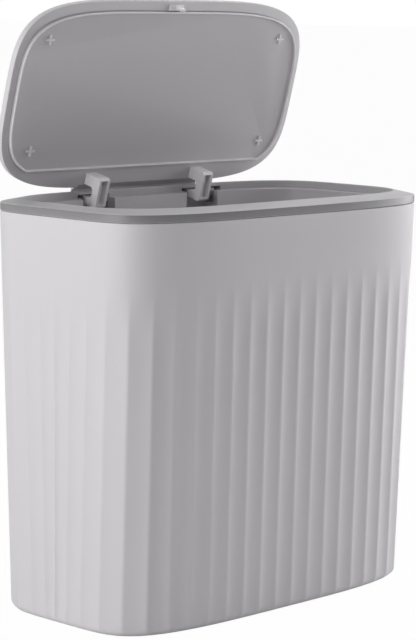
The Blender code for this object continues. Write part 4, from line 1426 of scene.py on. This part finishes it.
@dataclass
class PushLatch:
    """The push latch in the front of the rim: case, jaws, spring and the striker on the lid."""

    finishes: Finishes
    rim: RimMoulding
    case_wall: float = 0.0013
    plunger_bottom: float = 0.2535
    spring_radius: float = 0.0019
    spring_wire: float = 0.0005
    turns: int = 6
    points_per_turn: int = 24
    wire_sides: int = 10
    edge: float = 0.00025

    def build(self) -> Item:
        """Dress the latch's solids and make its spring.

        Returns:
            The spring.
        """
        for node in ("latch_case", "latch_plunger", "latch_striker"):
            MeshTools.soften(self.finishes.recolour(node, self.finishes.light), self.edge)
        wall = SEAT_GAP + self.case_wall
        middle = (self.rim.latch_front + self.rim.latch_back) / 2
        low = self.rim.latch_floor + wall + SEAT_GAP + self.spring_wire / 2
        high = self.plunger_bottom - SEAT_GAP - self.spring_wire / 2
        steps = self.turns * self.points_per_turn
        points = []
        for step in range(steps + 1):
            turn = 2 * math.pi * step / self.points_per_turn
            points.append(np.array([
                self.spring_radius * math.cos(turn),
                middle + self.spring_radius * math.sin(turn),
                low + (high - low) * step / steps,
            ]))
        names = ("catch_spring", "latch_spring")
        wire = Wire(self.finishes, *names, Body.LATCH, self.spring_wire, self.wire_sides)
        return wire.build(points, (0, middle, low), (0, middle, high))


@dataclass
class WallMount:
    """The wall plate in the socket on the back."""

    finishes: Finishes
    edge: float = 0.0004

    def build(self) -> Item:
        """Dress the plate and round its edges.

        Returns:
            The plate.
        """
        plate = self.finishes.recolour("wall_plate", self.finishes.light)
        MeshTools.soften(plate, self.edge)
        return plate


@dataclass(frozen=True)
class Lamp:
    """A square soft lamp that faces a point, with its power in watts."""

    name: str
    place: Corner
    size: float
    power: float
    aim: Corner = (0.0, 0.0, 0.16)

    def build(self) -> None:
        """Hang the lamp."""
        light = bpy.data.lights.new(self.name, "AREA")
        light.shape = "SQUARE"
        light.size = self.size
        light.energy = self.power
        lamp = bpy.data.objects.new(self.name, light)
        bpy.context.scene.collection.objects.link(lamp)
        lamp.location = self.place
        way = Vector(self.aim) - Vector(self.place)
        lamp.rotation_euler = way.to_track_quat("-Z", "Y").to_euler()


@dataclass
class Studio:
    """Floor, background, lamps and the camera."""

    azimuth: float = math.radians(-45.994)
    elevation: float = math.radians(7.702)
    roll: float = math.radians(0.817)
    distance: float = 1.5998
    focal_pixels: float = 2363.85
    frame_pixels: float = 640.0
    sensor: float = 36.0
    target: Corner = (-0.00425, 0.0, 0.1862)
    far_clip: float = 200.0
    floor_drop: float = 0.0002
    floor_half: float = 30.0
    floor_tone: float = 0.85
    floor_roughness: float = 0.9
    floor_specular: float = 0.1
    floor_white: float = 0.975
    fill_colour: Colour = (0.97, 0.97, 1.0)
    fill_strength: float = 0.19
    lamps: tuple[Lamp, ...] = (
        Lamp("left_softbox", (-2.2, 0.16, 0.7), 1.8, 37),
        Lamp("left_rear_softbox", (-1.6, 1.7, 0.4), 1.6, 8),
        Lamp("right_softbox", (1.35, -0.38, 0.45), 0.9, 12),
        Lamp("front_fill", (0.6, -2.6, 0.5), 1.4, 3),
        Lamp("top_softbox", (0.6, 0.1, 1.2), 0.5, 5, (0.0, 0.0, 0.27)),
    )

    def build(self) -> None:
        """Set up everything around the bin."""
        self.build_camera()
        self.build_world()
        self.build_floor()
        for lamp in self.lamps:
            lamp.build()
        bpy.context.scene.view_settings.view_transform = "Standard"

    def build_camera(self) -> None:
        """Stand the camera where the photograph was taken from."""
        back = Vector((
            math.sin(self.azimuth) * math.cos(self.elevation),
            -math.cos(self.azimuth) * math.cos(self.elevation),
            math.sin(self.elevation),
        ))
        right = (-back).cross(Vector((0, 0, 1))).normalized()
        up = right.cross(-back)
        cosine, sine = math.cos(self.roll), math.sin(self.roll)
        image_right = cosine * right + sine * up
        image_up = -sine * right + cosine * up
        turn = Matrix((image_right, image_up, back)).transposed().to_4x4()
        lens = bpy.data.cameras.new("photo_camera")
        lens.sensor_fit = "VERTICAL"
        lens.sensor_height = self.sensor
        lens.lens = self.focal_pixels * self.sensor / self.frame_pixels
        lens.clip_end = self.far_clip
        camera = bpy.data.objects.new("photo_camera", lens)
        bpy.context.scene.collection.objects.link(camera)
        camera.matrix_world = Matrix.Translation(Vector(self.target) + back * self.distance) @ turn
        bpy.context.scene.camera = camera

    def build_world(self) -> None:
        """White where the camera or a glossy surface sees it, and a soft fill light elsewhere."""
        world = bpy.data.worlds.new("studio")
        bpy.context.scene.world = world
        world.use_nodes = True
        nodes, links = world.node_tree.nodes, world.node_tree.links
        nodes.clear()
        result = nodes.new("ShaderNodeOutputWorld")
        path = nodes.new("ShaderNodeLightPath")
        seen = nodes.new("ShaderNodeMath")
        seen.operation = "MAXIMUM"
        links.new(path.outputs["Is Camera Ray"], seen.inputs[0])
        links.new(path.outputs["Is Glossy Ray"], seen.inputs[1])
        mix = nodes.new("ShaderNodeMixShader")
        links.new(seen.outputs["Value"], mix.inputs["Fac"])
        looks = ((self.fill_colour, self.fill_strength), ((1.0, 1.0, 1.0), 1.0))
        for number, (colour, strength) in enumerate(looks, start=1):
            light = nodes.new("ShaderNodeBackground")
            light.inputs["Color"].default_value = (*colour, 1)
            light.inputs["Strength"].default_value = strength
            links.new(light.outputs["Background"], mix.inputs[number])
        links.new(mix.outputs["Shader"], result.inputs["Surface"])

    def build_floor(self) -> None:
        """A plain pale floor that keeps a faint shadow."""
        half = self.floor_half
        mesh = bpy.data.meshes.new("floor")
        corners = [(-half, -half, 0), (half, -half, 0), (half, half, 0), (-half, half, 0)]
        mesh.from_pydata(corners, [], [(0, 1, 2, 3)])
        floor = MeshTools.add("floor", mesh)
        floor.location.z = -self.floor_drop
        coating = Coating("floor_white")
        nodes = coating.nodes
        coating.shader["Base Color"].default_value = (self.floor_tone,) * 3 + (1,)
        coating.shader["Roughness"].default_value = self.floor_roughness
        coating.shader["Specular IOR Level"].default_value = self.floor_specular
        glow = nodes.new("ShaderNodeEmission")
        glow.inputs["Color"].default_value = (1, 1, 1, 1)
        share = nodes.new("ShaderNodeMath")
        share.operation = "MULTIPLY"
        share.inputs[1].default_value = self.floor_white
        mix = nodes.new("ShaderNodeMixShader")
        coating.link(nodes.new("ShaderNodeLightPath").outputs["Is Camera Ray"], share.inputs[0])
        coating.link(share.outputs["Value"], mix.inputs["Fac"])
        coating.link(nodes["Principled BSDF"].outputs["BSDF"], mix.inputs[1])
        coating.link(glow.outputs["Emission"], mix.inputs[2])
        coating.link(mix.outputs["Shader"], nodes["Material Output"].inputs["Surface"])
        floor.data.materials.append(coating.material)


def main() -> None:
    """Build every sub-assembly in order, then the studio."""
    logging.basicConfig(level=logging.INFO, format="%(message)s")
    finishes = Finishes()
    shell = BinShell(finishes)
    rim = RimMoulding(finishes, shell)
    lid = Lid(finishes, rim)
    parts = {
        "bin shell": shell, "rim moulding": rim, "lid": lid, "hinges": Hinges(finishes, rim, lid),
        "push latch": PushLatch(finishes, rim), "wall mount": WallMount(finishes),
    }
    for name, part in parts.items():
        part.build()
        LOG.info("built the %s", name)
    Studio().build()
    LOG.info("built the studio")


if __name__ == "__main__":
    main()
